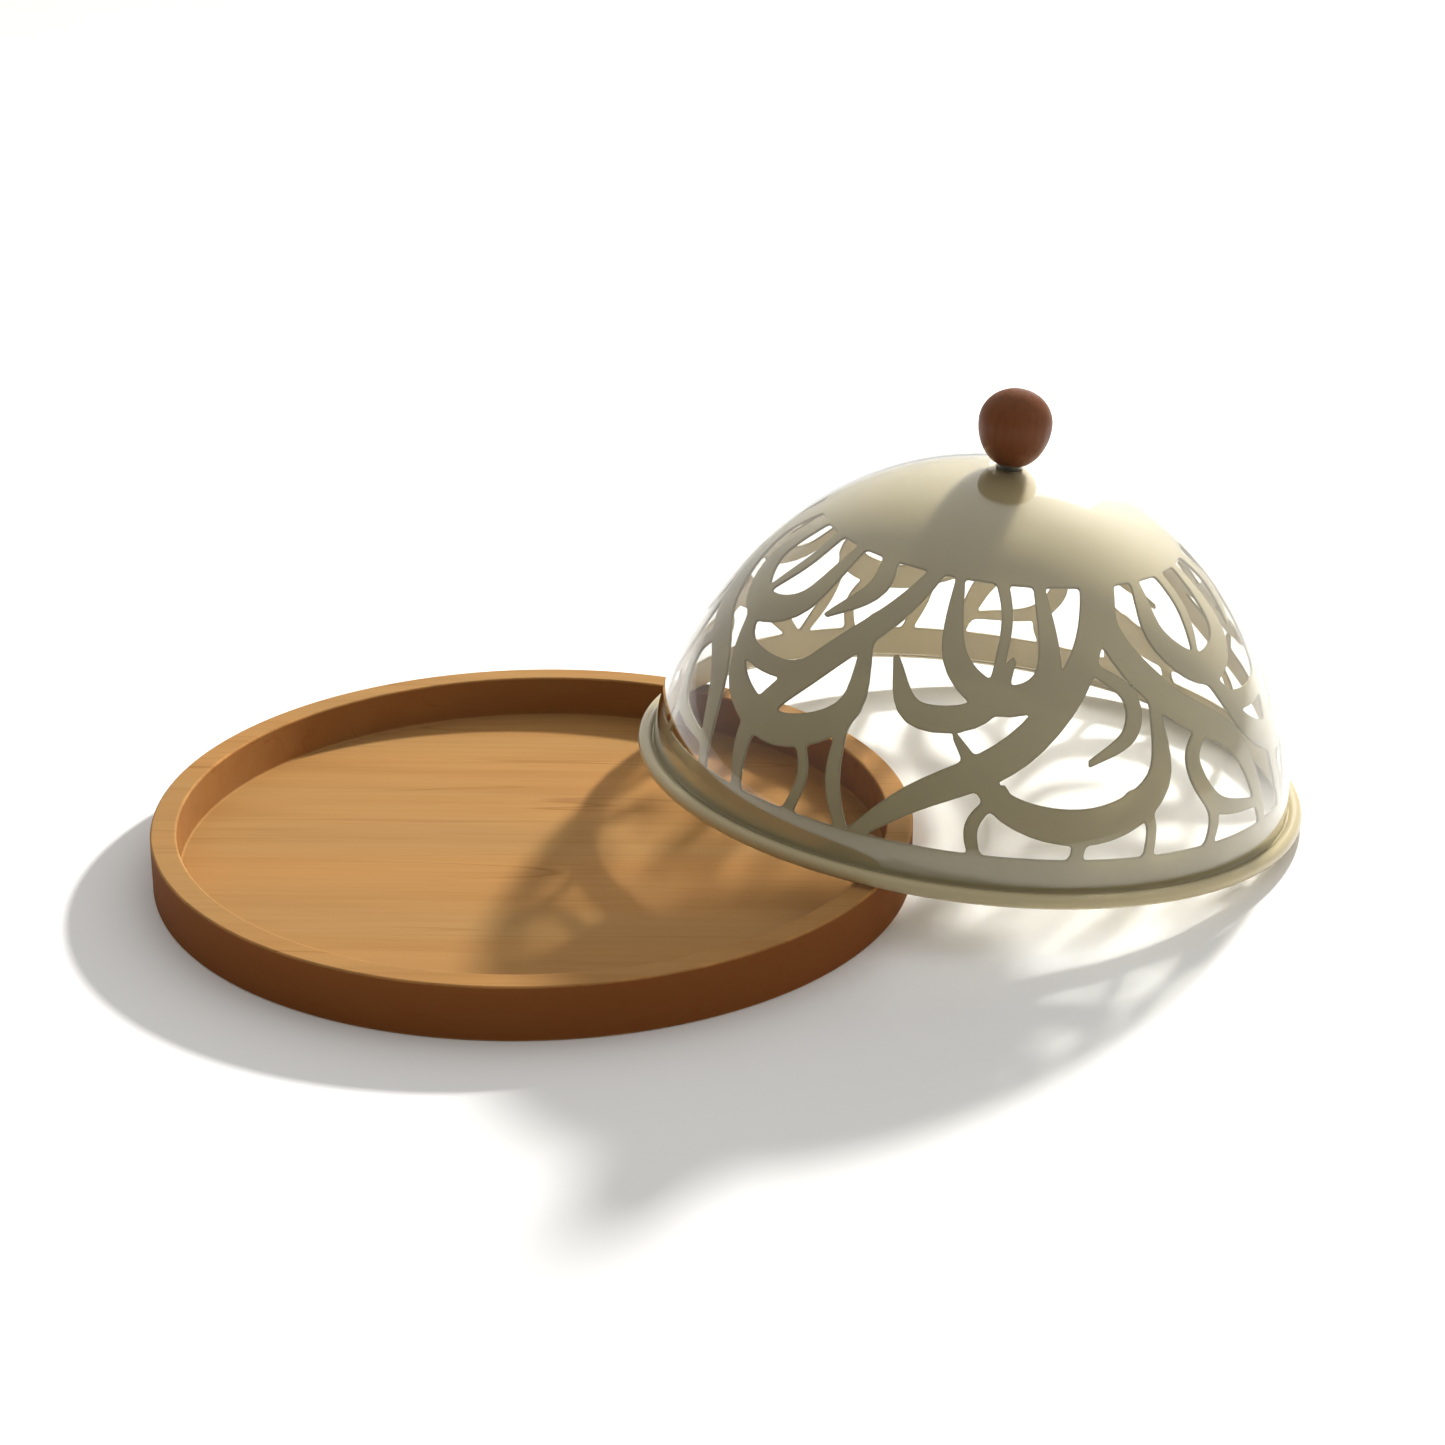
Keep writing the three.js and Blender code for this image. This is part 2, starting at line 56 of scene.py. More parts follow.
LOG = logging.getLogger("cheese_dome")


class Body(Enum):
    """The rigid bodies that the pieces ride on."""

    TRAY = "tray"
    DOME = "dome"


class Slot(Enum):
    """The record's material slots."""

    TRAY_WOOD = "tray_wood"
    ENAMEL = "enamel"
    CLEAR = "clear"
    KNOB_WOOD = "knob_wood"
    STEEL = "steel"
    BRASS = "brass"
    SILICONE = "silicone"


# ---------------------------------------------------------------------- meshes


@dataclass(frozen=True)
class Place:
    """A local frame of a turned piece.

    Attributes:
        origin: where the local origin is.
        basis: rows are the local X, Y and Z directions; Z is the axis that it is turned on.
    """

    origin: np.ndarray
    basis: np.ndarray

    def points(self, local: np.ndarray) -> np.ndarray:
        """Carries local points to the part's frame."""
        return self.origin + local @ self.basis

    def directions(self, local: np.ndarray) -> np.ndarray:
        """Carries local directions to the part's frame."""
        return local @ self.basis


@dataclass
class Skin:
    """A mesh in the making: rings of points joined one to the next.

    Each ring is one row of a surface of two parameters, the turn round the axis and the
    place along a profile.
    """

    points: list[np.ndarray] = field(default_factory=list)
    normals: list[np.ndarray] = field(default_factory=list)
    edges: list[np.ndarray] = field(default_factory=list)
    uprights: list[np.ndarray] = field(default_factory=list)
    faces: list[np.ndarray] = field(default_factory=list)
    count: int = 0

    def add(self, points: np.ndarray, normals: np.ndarray, edge: np.ndarray | float = 0.0) -> np.ndarray:
        """Adds points and returns their numbers.

        Args:
            points: one row of three local coordinates per point.
            normals: the outward direction at each point.
            edge: how much of an edge each point is on, from 0 to 1.

        Returns:
            The numbers that faces use for these points.
        """
        self.points.append(points)
        self.normals.append(normals)
        self.edges.append(np.broadcast_to(edge, len(points)))
        # How upright each face is; the wood finishes use it as the mask for their painted shade.
        self.uprights.append(1.0 - np.abs(normals[:, 2]))
        numbers = np.arange(self.count, self.count + len(points))
        self.count += len(points)
        return numbers

    def join(self, low: np.ndarray, high: np.ndarray) -> None:
        """Joins two rings, with the outside on the right of the way from low to high.

        Equal rings get four-sided faces, a ring twice as fine as its neighbour five-sided
        ones, and a ring of a single point three-sided ones.

        Args:
            low: the first ring's numbers.
            high: the second ring's numbers.
        """
        after_low, after_high = np.roll(low, -1), np.roll(high, -1)
        if len(high) == 1:
            self.faces.append(np.column_stack([low, after_low, np.full(len(low), high[0])]))
        elif len(low) == 1:
            self.faces.append(np.column_stack([np.full(len(high), low[0]), after_high, high]))
        elif len(low) == 2 * len(high):
            self.faces.append(np.column_stack([low[::2], low[1::2], after_low[1::2], after_high, high]))
        elif len(high) == 2 * len(low):
            self.faces.append(np.column_stack([low, after_low, after_high[1::2], high[1::2], high[::2]]))
        else:
            self.faces.append(np.column_stack([low, after_low, after_high, high]))

    def chain(self, rings: list[np.ndarray], closed: bool = False) -> None:
        """Joins each ring to the next, and the last to the first if closed."""
        for low, high in zip(rings, rings[1:]):
            self.join(low, high)
        if closed:
            self.join(rings[-1], rings[0])

    def piece(self, name: str, place: Place, node: str, body: Body, slot: Slot,
              material: bpy.types.Material) -> bpy.types.Object:
        """Makes the Blender object, gives it its body and finish, and hides the CAD node that it stands
        for.

        Args:
            name: the object's name.
            place: the local frame of the points.
            node: the CAD node that it stands for.
            body: the rigid body that it rides on.
            slot: the record's material slot; not used.
            material: the finish.

        Returns:
            The finished object, at the origin with its place in its mesh.
        """
        used, faces = self._used()
        points = place.points(np.concatenate(self.points)[used])
        normals = place.directions(np.concatenate(self.normals)[used])
        mesh = bpy.data.meshes.new(name)
        mesh.from_pydata(points, [], faces)
        mesh.shade_smooth()
        for label, values in (("edge", self.edges), ("upright", self.uprights)):
            layer = mesh.attributes.new(label, "FLOAT", "POINT")
            layer.data.foreach_set("value", np.concatenate(values)[used].astype(np.float32))
        mesh.normals_split_custom_set_from_vertices(normals)
        mesh.materials.append(material)
        piece = bpy.data.objects.new(name, mesh)
        bpy.context.scene.collection.objects.link(piece)
        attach(piece, body.value)
        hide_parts(node)
        LOG.info("%s: %d points, %d faces, rides on %s", name, len(points), len(faces), body.value)
        return piece

    def _used(self) -> tuple[np.ndarray, list[list[int]]]:
        """Returns the numbers of the points that faces use, and the faces in new numbers."""
        flat = np.concatenate([block.ravel() for block in self.faces])
        used, new = np.unique(flat, return_inverse=True)
        faces: list[list[int]] = []
        start = 0
        for block in self.faces:
            faces.extend(new[start:start + block.size].reshape(block.shape).tolist())
            start += block.size
        return used, faces


def around(profile: np.ndarray, normals: np.ndarray, columns: int) -> tuple[np.ndarray, np.ndarray]:
    """Turns profile points about Z: x = r cos t, y = r sin t, z = h, for t in equal steps.

    Args:
        profile: rows of [radius, height].
        normals: rows of [outward along the radius, outward along the height].
        columns: how many steps the full turn has.

    Returns:
        Points and normals, each of shape (rows, columns, 3).
    """
    turn = np.arange(columns) * (2 * math.pi / columns)
    spin = np.stack([np.cos(turn), np.sin(turn), np.zeros(columns)], axis=1)
    up = np.array([0.0, 0.0, 1.0])
    points = profile[:, None, :1] * spin + profile[:, None, 1:] * up
    outward = normals[:, None, :1] * spin + normals[:, None, 1:] * up
    return points, outward


def grid_normals(points: np.ndarray) -> np.ndarray:
    """Unit normals of a grid of rings: the way round at each point, times the way along.

    Args:
        points: shape (rings, points in a ring, 3).

    Returns:
        The normals, in the same shape.
    """
    along = np.gradient(points, axis=0)
    across = np.roll(points, -1, axis=1) - np.roll(points, 1, axis=1)
    normals = np.cross(across, along)
    return normals / np.maximum(np.linalg.norm(normals, axis=-1, keepdims=True), 1e-15)


def profile_normals(profile: np.ndarray, closed: bool) -> np.ndarray:
    """Outward normals of a profile that has its outside on the right.

    Each is the chord between a point's neighbours, turned a quarter turn to the right, so a
    long flat keeps its own direction up to the rounding beside it.
    """
    if closed:
        chord = np.roll(profile, -1, axis=0) - np.roll(profile, 1, axis=0)
    else:
        padded = np.vstack([2 * profile[0] - profile[1], profile, 2 * profile[-1] - profile[-2]])
        chord = padded[2:] - padded[:-2]
    normals = np.column_stack([chord[:, 1], -chord[:, 0]])
    return normals / np.linalg.norm(normals, axis=1, keepdims=True)


def profile_edges(profile: np.ndarray, closed: bool, tight: float) -> np.ndarray:
    """How much of an edge each profile point is on: bend per length times a tight radius."""
    before = profile - np.roll(profile, 1, axis=0)
    after = np.roll(profile, -1, axis=0) - profile
    bend = before[:, 0] * after[:, 1] - before[:, 1] * after[:, 0]
    lengths = np.linalg.norm(before, axis=1) * np.linalg.norm(after, axis=1)
    reach = (np.linalg.norm(before, axis=1) + np.linalg.norm(after, axis=1)) / 2
    edge = np.clip(bend / np.maximum(lengths, 1e-12) / np.maximum(reach, 1e-9) * tight, 0, 1)
    if not closed:
        edge[[0, -1]] = 0
    return edge


def turned_skin(profile: np.ndarray, columns: int, closed: bool, tight: float = 1.0 * MM) -> Skin:
    """A surface of revolution.

    Args:
        profile: rows of [radius, height], with the outside on the right; either closed, with
            no point repeated, or starting and ending on the axis.
        columns: how many steps the full turn has.
        closed: whether the profile is a closed loop.
        tight: a rounding of this radius counts as a full edge.

    Returns:
        The skin, in local coordinates.
    """
    normals = profile_normals(profile, closed)
    points, outward = around(profile, normals, columns)
    edges = profile_edges(profile, closed, tight)
    skin = Skin()
    rings = []
    for row, (radius, _) in enumerate(profile):
        keep = slice(0, 1) if radius < 1e-7 else slice(None)
        direction = outward[row, keep]
        if radius < 1e-7:
            direction = np.array([[0.0, 0.0, np.sign(normals[row, 1])]])
        rings.append(skin.add(points[row, keep], direction, edges[row]))
    skin.chain(rings, closed)
    return skin


def arc(centre: tuple[float, float], radius: float, start: float, stop: float, steps: int) -> np.ndarray:
    """Profile points of an arc: centre + radius (cos a, sin a), angles in degrees, ends included."""
    angle = np.radians(np.linspace(start, stop, steps + 1))
    return np.column_stack([centre[0] + radius * np.cos(angle), centre[1] + radius * np.sin(angle)])


def line(start: tuple[float, float], stop: tuple[float, float], steps: int) -> np.ndarray:
    """Profile points of a straight line, both ends included."""
    share = np.linspace(0, 1, steps + 1)[:, None]
    return np.array(start) * (1 - share) + np.array(stop) * share


def rounded_ring(inner: float, outer: float, low: float, high: float, rounding: float) -> np.ndarray:
    """A closed ring profile with four rounded corners, its outside on the right."""
    steps = 5
    return np.vstack([
        arc((outer - rounding, low + rounding), rounding, -90, 0, steps),
        arc((outer - rounding, high - rounding), rounding, 0, 90, steps),
        arc((inner + rounding, high - rounding), rounding, 90, 180, steps),
        arc((inner + rounding, low + rounding), rounding, 180, 270, steps),
    ])


# ---------------------------------------------------------------------- finishes


class Graph:
    """A material's node tree, with short calls for the nodes that the finishes use."""

    def __init__(self, name: str) -> None:
        """Starts an empty material with one Principled shader."""
        self.material = bpy.data.materials.new(name)
        self.material.use_nodes = True
        self.tree = self.material.node_tree
        self.shader = self.tree.nodes["Principled BSDF"]
        self.output = self.tree.nodes["Material Output"]

    def node(self, kind: str, **inputs: object) -> bpy.types.Node:
        """Adds a node; each input is a socket to link or a value to set, by its name."""
        made = self.tree.nodes.new(kind)
        for name, value in inputs.items():
            self.feed(made.inputs[name.replace("_", " ")], value)
        return made

    def feed(self, socket: bpy.types.NodeSocket, value: object) -> None:
        """Links an output to a socket, or sets the socket's value."""
        if isinstance(value, bpy.types.NodeSocket):
            self.tree.links.new(value, socket)
        else:
            socket.default_value = value

    def coordinates(self, scale: tuple[float, float, float] = (1, 1, 1),
                    turn: tuple[float, float, float] = (0, 0, 0),
                    shift: tuple[float, float, float] = (0, 0, 0)) -> bpy.types.NodeSocket:
        """Object coordinates, moved, turned and then scaled along the turned axes."""
        place = self.node("ShaderNodeTexCoord").outputs["Object"]
        turned = self.node("ShaderNodeMapping", Vector=place, Rotation=turn, Location=shift)
        return self.node("ShaderNodeMapping", Vector=turned.outputs[0], Scale=scale).outputs[0]

    def attribute(self, name: str) -> bpy.types.NodeSocket:
        """The piece's own number called name."""
        made = self.node("ShaderNodeAttribute")
        made.attribute_name = name
        return made.outputs["Fac"]

    def noise(self, vector: bpy.types.NodeSocket, scale: float, detail: float = 4.0,
              roughness: float = 0.5, distortion: float = 0.0) -> bpy.types.NodeSocket:
        """Fractal noise, from 0 to 1."""
        made = self.node("ShaderNodeTexNoise", Vector=vector, Scale=scale, Detail=detail,
                         Roughness=roughness, Distortion=distortion)
        return made.outputs["Fac"]

    def remap(self, value: bpy.types.NodeSocket, low: float, high: float,
              start: float = 0.0, stop: float = 1.0) -> bpy.types.NodeSocket:
        """Carries low..high smoothly to start..stop, clamped."""
        made = self.node("ShaderNodeMapRange", Value=value)
        made.interpolation_type = "SMOOTHSTEP"
        for name, number in zip(("From Min", "From Max", "To Min", "To Max"), (low, high, start, stop)):
            made.inputs[name].default_value = number
        return made.outputs["Result"]

    def maths(self, operation: str, first: object, second: object) -> bpy.types.NodeSocket:
        """One sum of two numbers."""
        made = self.node("ShaderNodeMath")
        made.operation = operation
        self.feed(made.inputs[0], first)
        self.feed(made.inputs[1], second)
        return made.outputs[0]

    def mix(self, factor: object, first: object, second: object,
            blend: str = "MIX") -> bpy.types.NodeSocket:
        """Mixes two colours."""
        made = self.node("ShaderNodeMix")
        made.data_type = "RGBA"
        made.blend_type = blend
        self.feed(made.inputs[0], factor)
        self.feed(made.inputs[6], first)
        self.feed(made.inputs[7], second)
        return made.outputs[2]

    def bump(self, height: bpy.types.NodeSocket, distance: float, strength: float = 1.0,
             under: bpy.types.NodeSocket | None = None) -> bpy.types.NodeSocket:
        """A bump of the given depth in metres, over another normal if one is given."""
        made = self.node("ShaderNodeBump", Height=height, Distance=distance, Strength=strength)
        if under is not None:
            self.feed(made.inputs["Normal"], under)
        return made.outputs[0]

    def set(self, **inputs: object) -> None:
        """Sets or links the Principled shader's inputs, by name."""
        for name, value in inputs.items():
            self.feed(self.shader.inputs[name.replace("_", " ")], value)


Colour = tuple[float, float, float, float]


@dataclass(frozen=True)
class GrainedWood:
    """Oiled wood with long straight grain.

    Attributes:
        name: what the material is called.
        pale: colour of the early wood.
        dark: colour of the late wood and the fine lines.
        upright_shade: colour of the painted shade on upright faces, darker and warmer, standing in for
            their being turned away from the light.
        upright_shade_share: how strongly that painted shade shows there.
        band: width of a growth ring in metres.
        turn: turns the grain, which runs along X, in radians.
        contrast: how much darker the late wood is, from 0 to 1.
        gloss: roughness of the oiled surface.
        shine: strength of the reflections, 0.5 being plain lacquer.
    """

    name: str
    pale: Colour
    dark: Colour
    upright_shade: Colour
    upright_shade_share: float = 0.9
    band: float = 9 * MM
    turn: tuple[float, float, float] = (0.0, 0.0, 0.0)
    contrast: float = 0.2
    gloss: float = 0.5
    shine: float = 0.2

    def material(self) -> bpy.types.Material:
        """Builds growth rings, fibres, pores, worn edges and painted shade on upright faces, from noise
        stretched along the grain.
        """
        g = Graph(self.name)
        across = 1 / self.band
        rings = g.noise(g.coordinates((0.07 * across, across, across), self.turn), 0.8, 3, 0.5, 0.3)
        board = g.noise(g.coordinates((0.5, 5.5, 5.5), self.turn), 3.2, 2, 0.4)
        fibre = g.noise(g.coordinates((9, 420, 420), self.turn), 1.0, 5, 0.6)
        pore = g.noise(g.coordinates((26, 900, 900), self.turn), 1.0, 2, 0.5)
        vein = g.noise(g.coordinates((0.035 * across, 0.6 * across, 0.6 * across), self.turn), 1.0, 1, 0.4)
        fades = g.noise(g.coordinates((0.05 * across, 0.3 * across, 0.3 * across), self.turn), 1.0, 2, 0.5)
        colour = g.mix(g.remap(rings, 0.4, 0.72, 0.0, self.contrast), self.pale, self.dark)
        warm = g.mix(1.0, colour, (1.10, 1.0, 0.90, 1), "MULTIPLY")
        colour = g.mix(g.remap(board, 0.35, 0.65, 0.0, 0.75), colour, warm)
        veins = g.remap(g.maths("ABSOLUTE", g.maths("SUBTRACT", vein, 0.5), 0.0), 0.0, 0.010, 1.0, 0.0)
        veins = g.maths("MULTIPLY", veins, g.remap(fades, 0.40, 0.56, 0.0, 2.4 * self.contrast))
        colour = g.mix(veins, colour, self.dark)
        colour = g.mix(g.remap(fibre, 0.42, 0.72, 0.0, 0.5 * self.contrast), colour, self.dark)
        pores = g.remap(pore, 0.66, 0.78)
        colour = g.mix(g.maths("MULTIPLY", pores, 1.6 * self.contrast), colour, self.dark)
        # Painted shade: upright faces are mixed towards a darker, warmer colour that stands in for the
        # shade on faces turned from the light.
        upright = g.maths("MULTIPLY", g.attribute("upright"), self.upright_shade_share)
        painted_shade = g.mix(g.remap(fibre, 0.3, 0.7, 0.0, 0.35), self.upright_shade, self.dark)
        colour = g.mix(upright, colour, painted_shade)
        worn = g.mix(1.0, colour, (1.22, 1.2, 1.16, 1), "MULTIPLY")
        patchy = g.remap(g.noise(g.coordinates(), 60.0, 3), 0.4, 0.65)
        colour = g.mix(g.maths("MULTIPLY", g.attribute("edge"), patchy), colour, worn)
        rough = g.remap(fibre, 0.3, 0.7, self.gloss - 0.06, self.gloss + 0.08)
        rough = g.maths("ADD", rough, g.maths("MULTIPLY", pores, 0.12))
        normal = g.bump(fibre, 0.05 * MM, 0.6)
        normal = g.bump(g.maths("SUBTRACT", 1.0, pores), 0.04 * MM, 0.5, normal)
        g.set(Base_Color=colour, Roughness=rough, Normal=normal, Specular_IOR_Level=self.shine)
        return g.material


@dataclass(frozen=True)
class Enamel:
    """Cream enamel on steel sheet, thin and darker on the cut edges.

    Attributes:
        name: what the material is called.
        body: colour of the enamel.
        cloud: colour that clouds it slightly.
        rim: colour where it is thin, on the edges.
    """

    name: str
    body: Colour
    cloud: Colour
    rim: Colour

    def material(self) -> bpy.types.Material:
        """Builds clouding, specks, orange peel, a glossy coat and thin edges."""
        g = Graph(self.name)
        place = g.coordinates()
        clouds = g.noise(place, 14.0, 3, 0.5)
        colour = g.mix(g.remap(clouds, 0.35, 0.7, 0.0, 0.6), self.body, self.cloud)
        edge = g.remap(g.attribute("edge"), 0.15, 1.0, 0.0, 0.85)
        colour = g.mix(edge, colour, self.rim)
        specks = g.remap(g.noise(place, 900.0, 1), 0.74, 0.78)
        colour = g.mix(g.maths("MULTIPLY", specks, 0.3), colour, self.rim)
        peel = g.noise(place, 420.0, 2, 0.4)
        wave = g.noise(place, 55.0, 2, 0.4)
        normal = g.bump(peel, 0.012 * MM, 0.7)
        normal = g.bump(wave, 0.05 * MM, 0.5, normal)
        rough = g.remap(g.noise(place, 30.0, 3), 0.3, 0.7, 0.34, 0.46)
        g.set(Base_Color=colour, Roughness=rough, Normal=normal, Coat_Weight=0.6,
              Coat_Roughness=0.08, Specular_IOR_Level=0.3)
        return g.material


@dataclass(frozen=True)
class ClearCover:
    """Clear moulded cover: light from lamps passes straight through it.

    Attributes:
        name: what the material is called.
        tint: colour that it lets through.
        bends: its index of refraction.
        depth_tint: what it lets through of light that runs along inside it.
        depth: how quickly that light fades.
        shade: what it lets through of light on its way to what lies behind.
    """

    name: str
    tint: Colour = (0.985, 0.99, 0.985, 1.0)
    bends: float = 1.46
    depth_tint: Colour = (0.74, 0.75, 0.70, 1.0)
    depth: float = 60.0
    shade: Colour = (0.91, 0.915, 0.90, 1.0)

    def material(self) -> bpy.types.Material:
        """Builds glass with faint handling marks, and a plain clear shader for shadow rays."""
        g = Graph(self.name)
        place = g.coordinates()
        smears = g.remap(g.noise(place, 22.0, 4, 0.6, 0.6), 0.5, 0.8, 0.0, 0.05)
        ripple = g.noise(place, 16.0, 2, 0.4)
        g.set(Base_Color=self.tint, Roughness=smears, Transmission_Weight=1.0, IOR=self.bends,
              Normal=g.bump(ripple, 0.12 * MM, 0.25))
        path = g.node("ShaderNodeLightPath")
        clear = g.node("ShaderNodeBsdfTransparent", Color=self.shade)
        either = g.node("ShaderNodeMixShader")
        g.feed(either.inputs[0], path.outputs["Is Shadow Ray"])
        g.feed(either.inputs[1], g.shader.outputs[0])
        g.feed(either.inputs[2], clear.outputs[0])
        g.feed(g.output.inputs["Surface"], either.outputs[0])
        smoke = g.node("ShaderNodeVolumeAbsorption", Color=self.depth_tint, Density=self.depth)
        g.feed(g.output.inputs["Volume"], smoke.outputs[0])
        return g.material


@dataclass(frozen=True)
class TurnedMetal:
    """Machined metal with fine turning marks and duller, worn edges.

    Attributes:
        name: what the material is called.
        colour: the metal's colour.
        shadow: its tarnish.
        gloss: its roughness.
    """

    name: str
    colour: Colour
    shadow: Colour
    gloss: float

    def material(self) -> bpy.types.Material:
        """Builds tarnish, brushed roughness and brightened edges."""
        g = Graph(self.name)
        place = g.coordinates()
        tarnish = g.noise(place, 260.0, 4, 0.6)
        marks = g.noise(g.coordinates((200, 200, 6000)), 1.0, 2)
        colour = g.mix(g.remap(tarnish, 0.45, 0.75, 0.0, 0.5), self.colour, self.shadow)
        bright = g.mix(1.0, colour, (1.15, 1.15, 1.15, 1), "MULTIPLY")
        colour = g.mix(g.attribute("edge"), colour, bright)
        rough = g.remap(marks, 0.3, 0.7, self.gloss - 0.05, self.gloss + 0.12)
        g.set(Base_Color=colour, Metallic=1.0, Roughness=rough, Normal=g.bump(marks, 0.01 * MM, 0.5))
        return g.material


@dataclass(frozen=True)
class Silicone:
    """Soft translucent silicone, matte with a little dust.

    Attributes:
        name: what the material is called.
        colour: its colour.
        dust: colour of the dust that it holds.
    """

    name: str
    colour: Colour
    dust: Colour

    def material(self) -> bpy.types.Material:
        """Builds a matte surface with moulding grain and dust."""
        g = Graph(self.name)
        place = g.coordinates()
        grain = g.noise(place, 2400.0, 2)
        dust = g.remap(g.noise(place, 500.0, 3), 0.5, 0.7, 0.0, 0.4)
        g.set(Base_Color=g.mix(dust, self.colour, self.dust), Subsurface_Weight=0.2,
              Subsurface_Radius=(1.5 * MM, 1.3 * MM, 1.1 * MM), Subsurface_Scale=1.0,
              Roughness=g.remap(grain, 0.3, 0.7, 0.6, 0.75), Normal=g.bump(grain, 0.02 * MM, 0.5))
        return g.material


# Painted shade: both woods darken their upright faces, the tray's strongly and the knob's slightly, in
# place of the shade that falls on them.
TRAY_WOOD = GrainedWood(
    name="oiled_tray_wood",
    pale=(0.400, 0.226, 0.085, 1), dark=(0.20, 0.076, 0.020, 1), upright_shade=(0.19, 0.052, 0.010, 1),
    upright_shade_share=0.92, band=11 * MM, turn=(0.0, 0.0, 0.03), contrast=0.16, gloss=0.6, shine=0.04)
KNOB_WOOD = GrainedWood(
    name="stained_knob_wood",
    pale=(0.185, 0.062, 0.021, 1), dark=(0.080, 0.024, 0.008, 1), upright_shade=(0.160, 0.050, 0.017, 1),
    upright_shade_share=0.25, band=3 * MM, turn=(0.0, 1.45, 0.0), contrast=0.22, gloss=0.42, shine=0.16)
ENAMEL = Enamel(
    name="cream_enamel",
    body=(0.515, 0.432, 0.245, 1), cloud=(0.492, 0.410, 0.229, 1), rim=(0.30, 0.250, 0.142, 1))
COVER = ClearCover(name="clear_cover")
STEEL = TurnedMetal(
    name="turned_steel", colour=(0.60, 0.61, 0.62, 1), shadow=(0.36, 0.35, 0.34, 1), gloss=0.28)
BRASS = TurnedMetal(
    name="turned_brass", colour=(0.78, 0.56, 0.24, 1), shadow=(0.42, 0.27, 0.10, 1), gloss=0.3)
SILICONE = Silicone(name="gasket_silicone", colour=(0.27, 0.24, 0.19, 1), dust=(0.40, 0.37, 0.31, 1))


# ---------------------------------------------------------------------- places


def node_points(name: str) -> np.ndarray:
    """The points of a CAD node's mesh, in metres in the part's frame."""
    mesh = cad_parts[name].data
    flat = np.empty(3 * len(mesh.vertices))
    mesh.vertices.foreach_get("co", flat)
    return flat.reshape(-1, 3)


@dataclass(frozen=True)
class DomeSizes:
    """Sizes of the dome's profile, shared by all of its pieces.

    Attributes:
        radius: outside of the clear cover at its foot.
        height: bead centre to the crown of the clear cover.
        flare: roundness of the wall, seen from the side.
        rise: roundness of the crown, seen from the side.
        bead: radius of the rolled foot.
        bead_circle: radius of the bead's centre line about the axis.
        cover: thickness of the clear cover.
        air: gap between the cover and the openwork shell.
        sheet: thickness of the openwork shell.
        seat: gap between pieces that touch.
        hole: radius of the holes that the screw passes.
        land: radius where each shell's flat crown begins.
    """

    radius: float = 148.1 * MM
    height: float = 147 * MM
    flare: float = 1.95
    rise: float = 1.8
    bead: float = 3.3 * MM
    bead_circle: float = 151.69 * MM
    cover: float = 1.6 * MM
    air: float = 1.0 * MM
    sheet: float = 1.2 * MM
    seat: float = 0.3 * MM
    hole: float = 2.8 * MM
    land: float = 8 * MM

    @property
    def sheet_inset(self) -> float:
        """The cover's outside to the openwork shell's outside."""
        return self.cover + self.air

    @property
    def foot(self) -> float:
        """Height of the clear cover's foot, above the flange."""
        return self.sheet + self.seat

    def wall(self, angle: np.ndarray, inset: float | np.ndarray) -> tuple[np.ndarray, np.ndarray]:
        """Points and outward normals of the wall.

        The outside is a superellipse: radius = R cos(a)^(2 / flare) and height =
        H sin(a)^(2 / rise), for a from 0 at the foot to a quarter turn at the crown. Its
        normal is its tangent turned a quarter turn, and an inset goes inwards along it.

        Args:
            angle: values of a, in radians.
            inset: distance inwards from the outside.

        Returns:
            Rows of [radius, height] and rows of the outward normal.
        """
        cos, sin = np.cos(angle), np.sin(angle)
        points = np.stack([self.radius * cos ** (2 / self.flare), self.height * sin ** (2 / self.rise)], -1)
        inwards = self.radius * (2 / self.flare) * cos ** (2 / self.flare - 1) * sin
        upwards = self.height * (2 / self.rise) * sin ** (2 / self.rise - 1) * cos
        normals = np.stack([upwards, inwards], -1)
        normals /= np.linalg.norm(normals, axis=-1, keepdims=True)
        return points - np.asarray(inset)[..., None] * normals, normals

    def angles(self, steps: int = 6000) -> np.ndarray:
        """Wall angles from just above the foot to just short of the crown."""
        return np.linspace(1e-4, math.pi / 2 - 1e-4, steps)

    def angle_at(self, inset: float, column: int, value: float) -> float:
        """The wall angle where the radius (column 0) or the height (column 1) has a value."""
        angles = self.angles()
        values = self.wall(angles, inset)[0][:, column]
        order = np.argsort(values)
        return float(np.interp(value, values[order], angles[order]))

    def crown(self, inset: float) -> float:
        """Height of the flat at the crown."""
        angle = self.angle_at(inset, 0, self.land)
        return float(self.wall(np.array([angle]), inset)[0][0, 1])

    def crown_line(self, inset: float, start: float, rows: int) -> tuple[np.ndarray, np.ndarray]:
        """The wall from an angle up to the crown, then level to the screw hole.

        Between the wall and the level crown runs a parabola that meets both smoothly: its
        fall is a constant times the square of the distance from where it starts.

        Args:
            inset: distance inwards from the cover's outside.
            start: the wall angle to start from.
            rows: how many rows the wall has.

        Returns:
            Rows of [radius, height] from the start to the hole, and their outward normals.
        """
        meet = 1.6 * self.land
        top = self.angle_at(inset, 0, meet)
        wall, normals = self.wall(np.linspace(start, top, rows + 1), inset)
        level = self.crown(inset)
        slope = normals[-1, 0] / normals[-1, 1]
        run = 2 * (level - wall[-1, 1]) / slope
        radii = np.linspace(meet, self.hole, 12)[1:]
        past = np.clip(radii - (meet - run), 0, None)
        curve = np.column_stack([radii, level - slope / (2 * run) * past ** 2])
        tilt = np.column_stack([slope / run * past, np.ones(len(radii))])
        tilt /= np.linalg.norm(tilt, axis=1, keepdims=True)
        return np.vstack([wall, curve]), np.vstack([normals, tilt])


